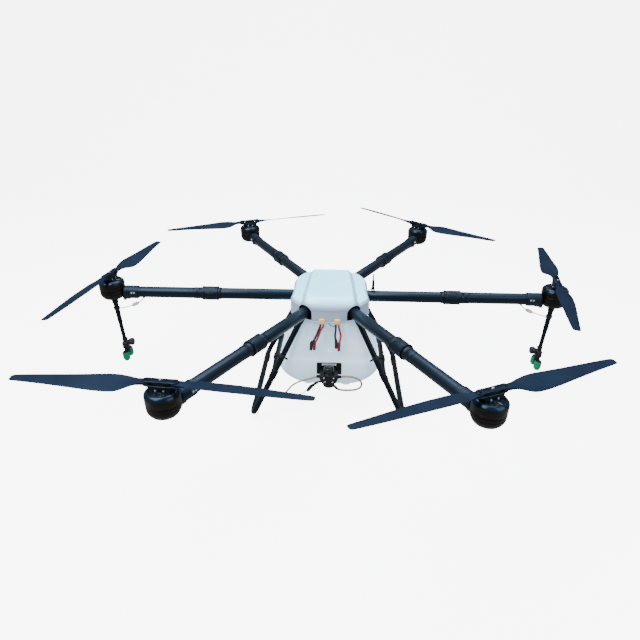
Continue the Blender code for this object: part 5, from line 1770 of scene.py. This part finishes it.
def leg_rubbers(part):
    """Ribbed feet round the skid and sleeves over its bends."""
    section = ([(SKID_X - .0104, Z_GROUND + .0006), (SKID_X - .0098, Z_GROUND),
                (SKID_X + .0098, Z_GROUND), (SKID_X + .0104, Z_GROUND + .0006),
                (SKID_X + .0106, Z_SKID - .0030)]
               + arc(SKID_X, Z_SKID, .0110, range(0, 181, 10))
               + [(SKID_X - .0106, Z_SKID - .0030)])
    for y in (-.185, .165):
        # the ends draw in, except downwards
        part.loft([[(SKID_X + (x - SKID_X) * k, y + dy,
                     Z_SKID + (z - Z_SKID) * (k if z > Z_SKID else 1.0)) for x, z in section]
                   for dy, k in ((-.0220, .93), (-.0210, 1.0), (.0210, 1.0), (.0220, .93))],
                  RUBBER)
        for i in range(6):
            rib = y - .0170 + i * .0068
            part.box(SKID_X - .0107, SKID_X + .0107, rib - .0012, rib + .0012,
                     Z_GROUND + .0002, Z_GROUND + .0060, RUBBER, .0004)
    for bend in (FRONT_BEND, REAR_BEND):
        part.pipe([bend[0] + (bend[0] - bend[1]).normalized() * .006] + bend
                  + [bend[-1] + (bend[-1] - bend[-2]).normalized() * .006],
                  [.0096] + [.0100] * 11 + [.0096], RUBBER, 30)


def leg_frames():
    right, left = Shells(), Shells()
    leg_tube(right)
    leg_rail(right)
    leg_fittings(right)
    leg_rubbers(right)
    right.finish("leg_frame_right", "leg_black")
    left.verts = [Vector((-p.x, p.y, p.z)) for p in right.verts]
    left.faces = [face[::-1] for face in right.faces]
    left.slots, left.mats = right.slots, right.mats
    left.finish("leg_frame_left", "leg_black")


leg_frames()


# ================================================================ feed hoses from arms to drops
def feed_hose():
    part = Shells()
    part.pipe(smooth_path([
        (.6880, 0.0, -.0205), (.6930, .0010, -.0290), (.7060, .0020, -.0395),
        (.7225, .0030, -.0490), (.7440, .0030, -.0575), (.7650, .0015, -.0640),
        (.7800, .0005, -.0672), (.7900, 0.0, -.0680)], 9), .0019, MILKY, 14)
    # fatter milky bowl in the line, with narrow ends
    path = smooth_path([(.7090, .0022, -.0415), (.7225, .0030, -.0490), (.7370, .0030, -.0550)], 8)
    shares = [i / (len(path) - 1.0) for i in range(len(path))]
    part.pipe(path, [.0030 if u < .10 or u > .92 else .0044 if u < .18 or u > .84 else .0064
                     for u in shares], MILKY, 24)
    # gland under the arm, and a band round the drop tube
    part.turn([(.0036, -.0245), (.0042, -.0238), (.0042, -.0198)], BLACK, 24, place=shift(.6880))
    part.lathe([(.0082, -.0730), (.0106, -.0730), (.0112, -.0724), (.0112, -.0636),
                (.0106, -.0630), (.0082, -.0630)], BLACK, 40, place=LEAN @ MOTOR_AT)
    return part


for arm in ("l", "r"):
    feed_hose().finish("feed_hose_" + arm, "lance_black", "arm_" + arm, arm_matrix(arm), cad=False)


# ================================================================ floor, light and camera
def floor_paper():
    """Bright white to the camera, mid grey to every other ray."""
    g = Graph("floor_paper")
    seen = g.node("ShaderNodeLightPath").outputs["Is Camera Ray"]
    pale = g.mix(g.noise(scale=3, detail=2, rough=0.5), (0.90, 0.90, 0.90), (0.93, 0.93, 0.93))
    return g.shade(color=g.mix(seen, (0.30, 0.30, 0.31), pale), rough=0.9, spec=0.1,
                   glow=(1.0, 1.0, 1.0), glow_power=g.mul(seen, 6.0))


def floor():
    """Sheet that curves up into a back wall."""
    half_width, front, back, height, bend = 6.0, -6.0, 5.0, 5.0, 2.0
    profile = [(front, 0.0), (back - bend, 0.0)]
    for degrees in range(10, 91, 10):
        a = math.radians(degrees)
        profile.append((back - bend + bend * math.sin(a), bend - bend * math.cos(a)))
    profile.append((back, height))
    verts = [(x, y, z + Z_GROUND - .0005) for y, z in profile for x in (-half_width, half_width)]
    mesh = bpy.data.meshes.new("floor")
    mesh.from_pydata(verts, [], [(2 * i, 2 * i + 1, 2 * i + 3, 2 * i + 2)
                                 for i in range(len(profile) - 1)])
    mesh.materials.append(floor_paper())
    mesh.shade_smooth()
    ob = bpy.data.objects.new("floor", mesh)
    bpy.context.scene.collection.objects.link(ob)


def sky_world():
    world = bpy.data.worlds.new("world")
    bpy.context.scene.world = world
    world.use_nodes = True
    background = world.node_tree.nodes["Background"]
    background.inputs["Color"].default_value = (0.80, 0.90, 1.0, 1.0)
    background.inputs["Strength"].default_value = 0.42


def area_light(name, location, size, power, color):
    """Rectangular light aimed at the drone's middle."""
    light = bpy.data.lights.new(name, "AREA")
    light.energy, light.shape, light.color = power, "RECTANGLE", color
    light.size, light.size_y = size
    ob = bpy.data.objects.new(name, light)
    bpy.context.scene.collection.objects.link(ob)
    ob.location = location
    aim = Vector((0, 0, -.1)) - Vector(location)
    ob.rotation_euler = aim.to_track_quat("-Z", "Y").to_euler()


def camera():
    data = bpy.data.cameras.new("camera")
    data.lens = 29.852
    data.sensor_width, data.sensor_height, data.sensor_fit = 36.0, 36.0, "HORIZONTAL"
    data.clip_start, data.clip_end = 0.01, 50.0
    ob = bpy.data.objects.new("camera", data)
    bpy.context.scene.collection.objects.link(ob)
    yaw, pitch, roll = (math.radians(a) for a in (2.06657921, 26.66860653, 0.24482396))
    forward = Vector((-math.sin(yaw) * math.cos(pitch), math.cos(yaw) * math.cos(pitch),
                      -math.sin(pitch)))
    level = Vector((math.cos(yaw), math.sin(yaw), 0))
    upright = level.cross(forward)
    right = level * math.cos(roll) + upright * math.sin(roll)
    up = -level * math.sin(roll) + upright * math.cos(roll)
    place = Matrix((right, up, -forward)).transposed().to_4x4()
    place.translation = Vector((0.02643, -1.76343, 0.81075))
    ob.matrix_world = place
    bpy.context.scene.camera = ob


floor()
sky_world()
area_light("key_light", location=(-1.6, -1.2, 2.9), size=(2.4, 2.4), power=190.0,
           color=(1.0, 0.98, 0.95))
area_light("fill_light", location=(2.4, -1.8, 1.9), size=(2.2, 2.2), power=60.0,
           color=(0.92, 0.96, 1.0))
area_light("top_light", location=(0.1, 0.9, 3.1), size=(3.0, 2.4), power=150.0,
           color=(0.88, 0.95, 1.0))
camera()
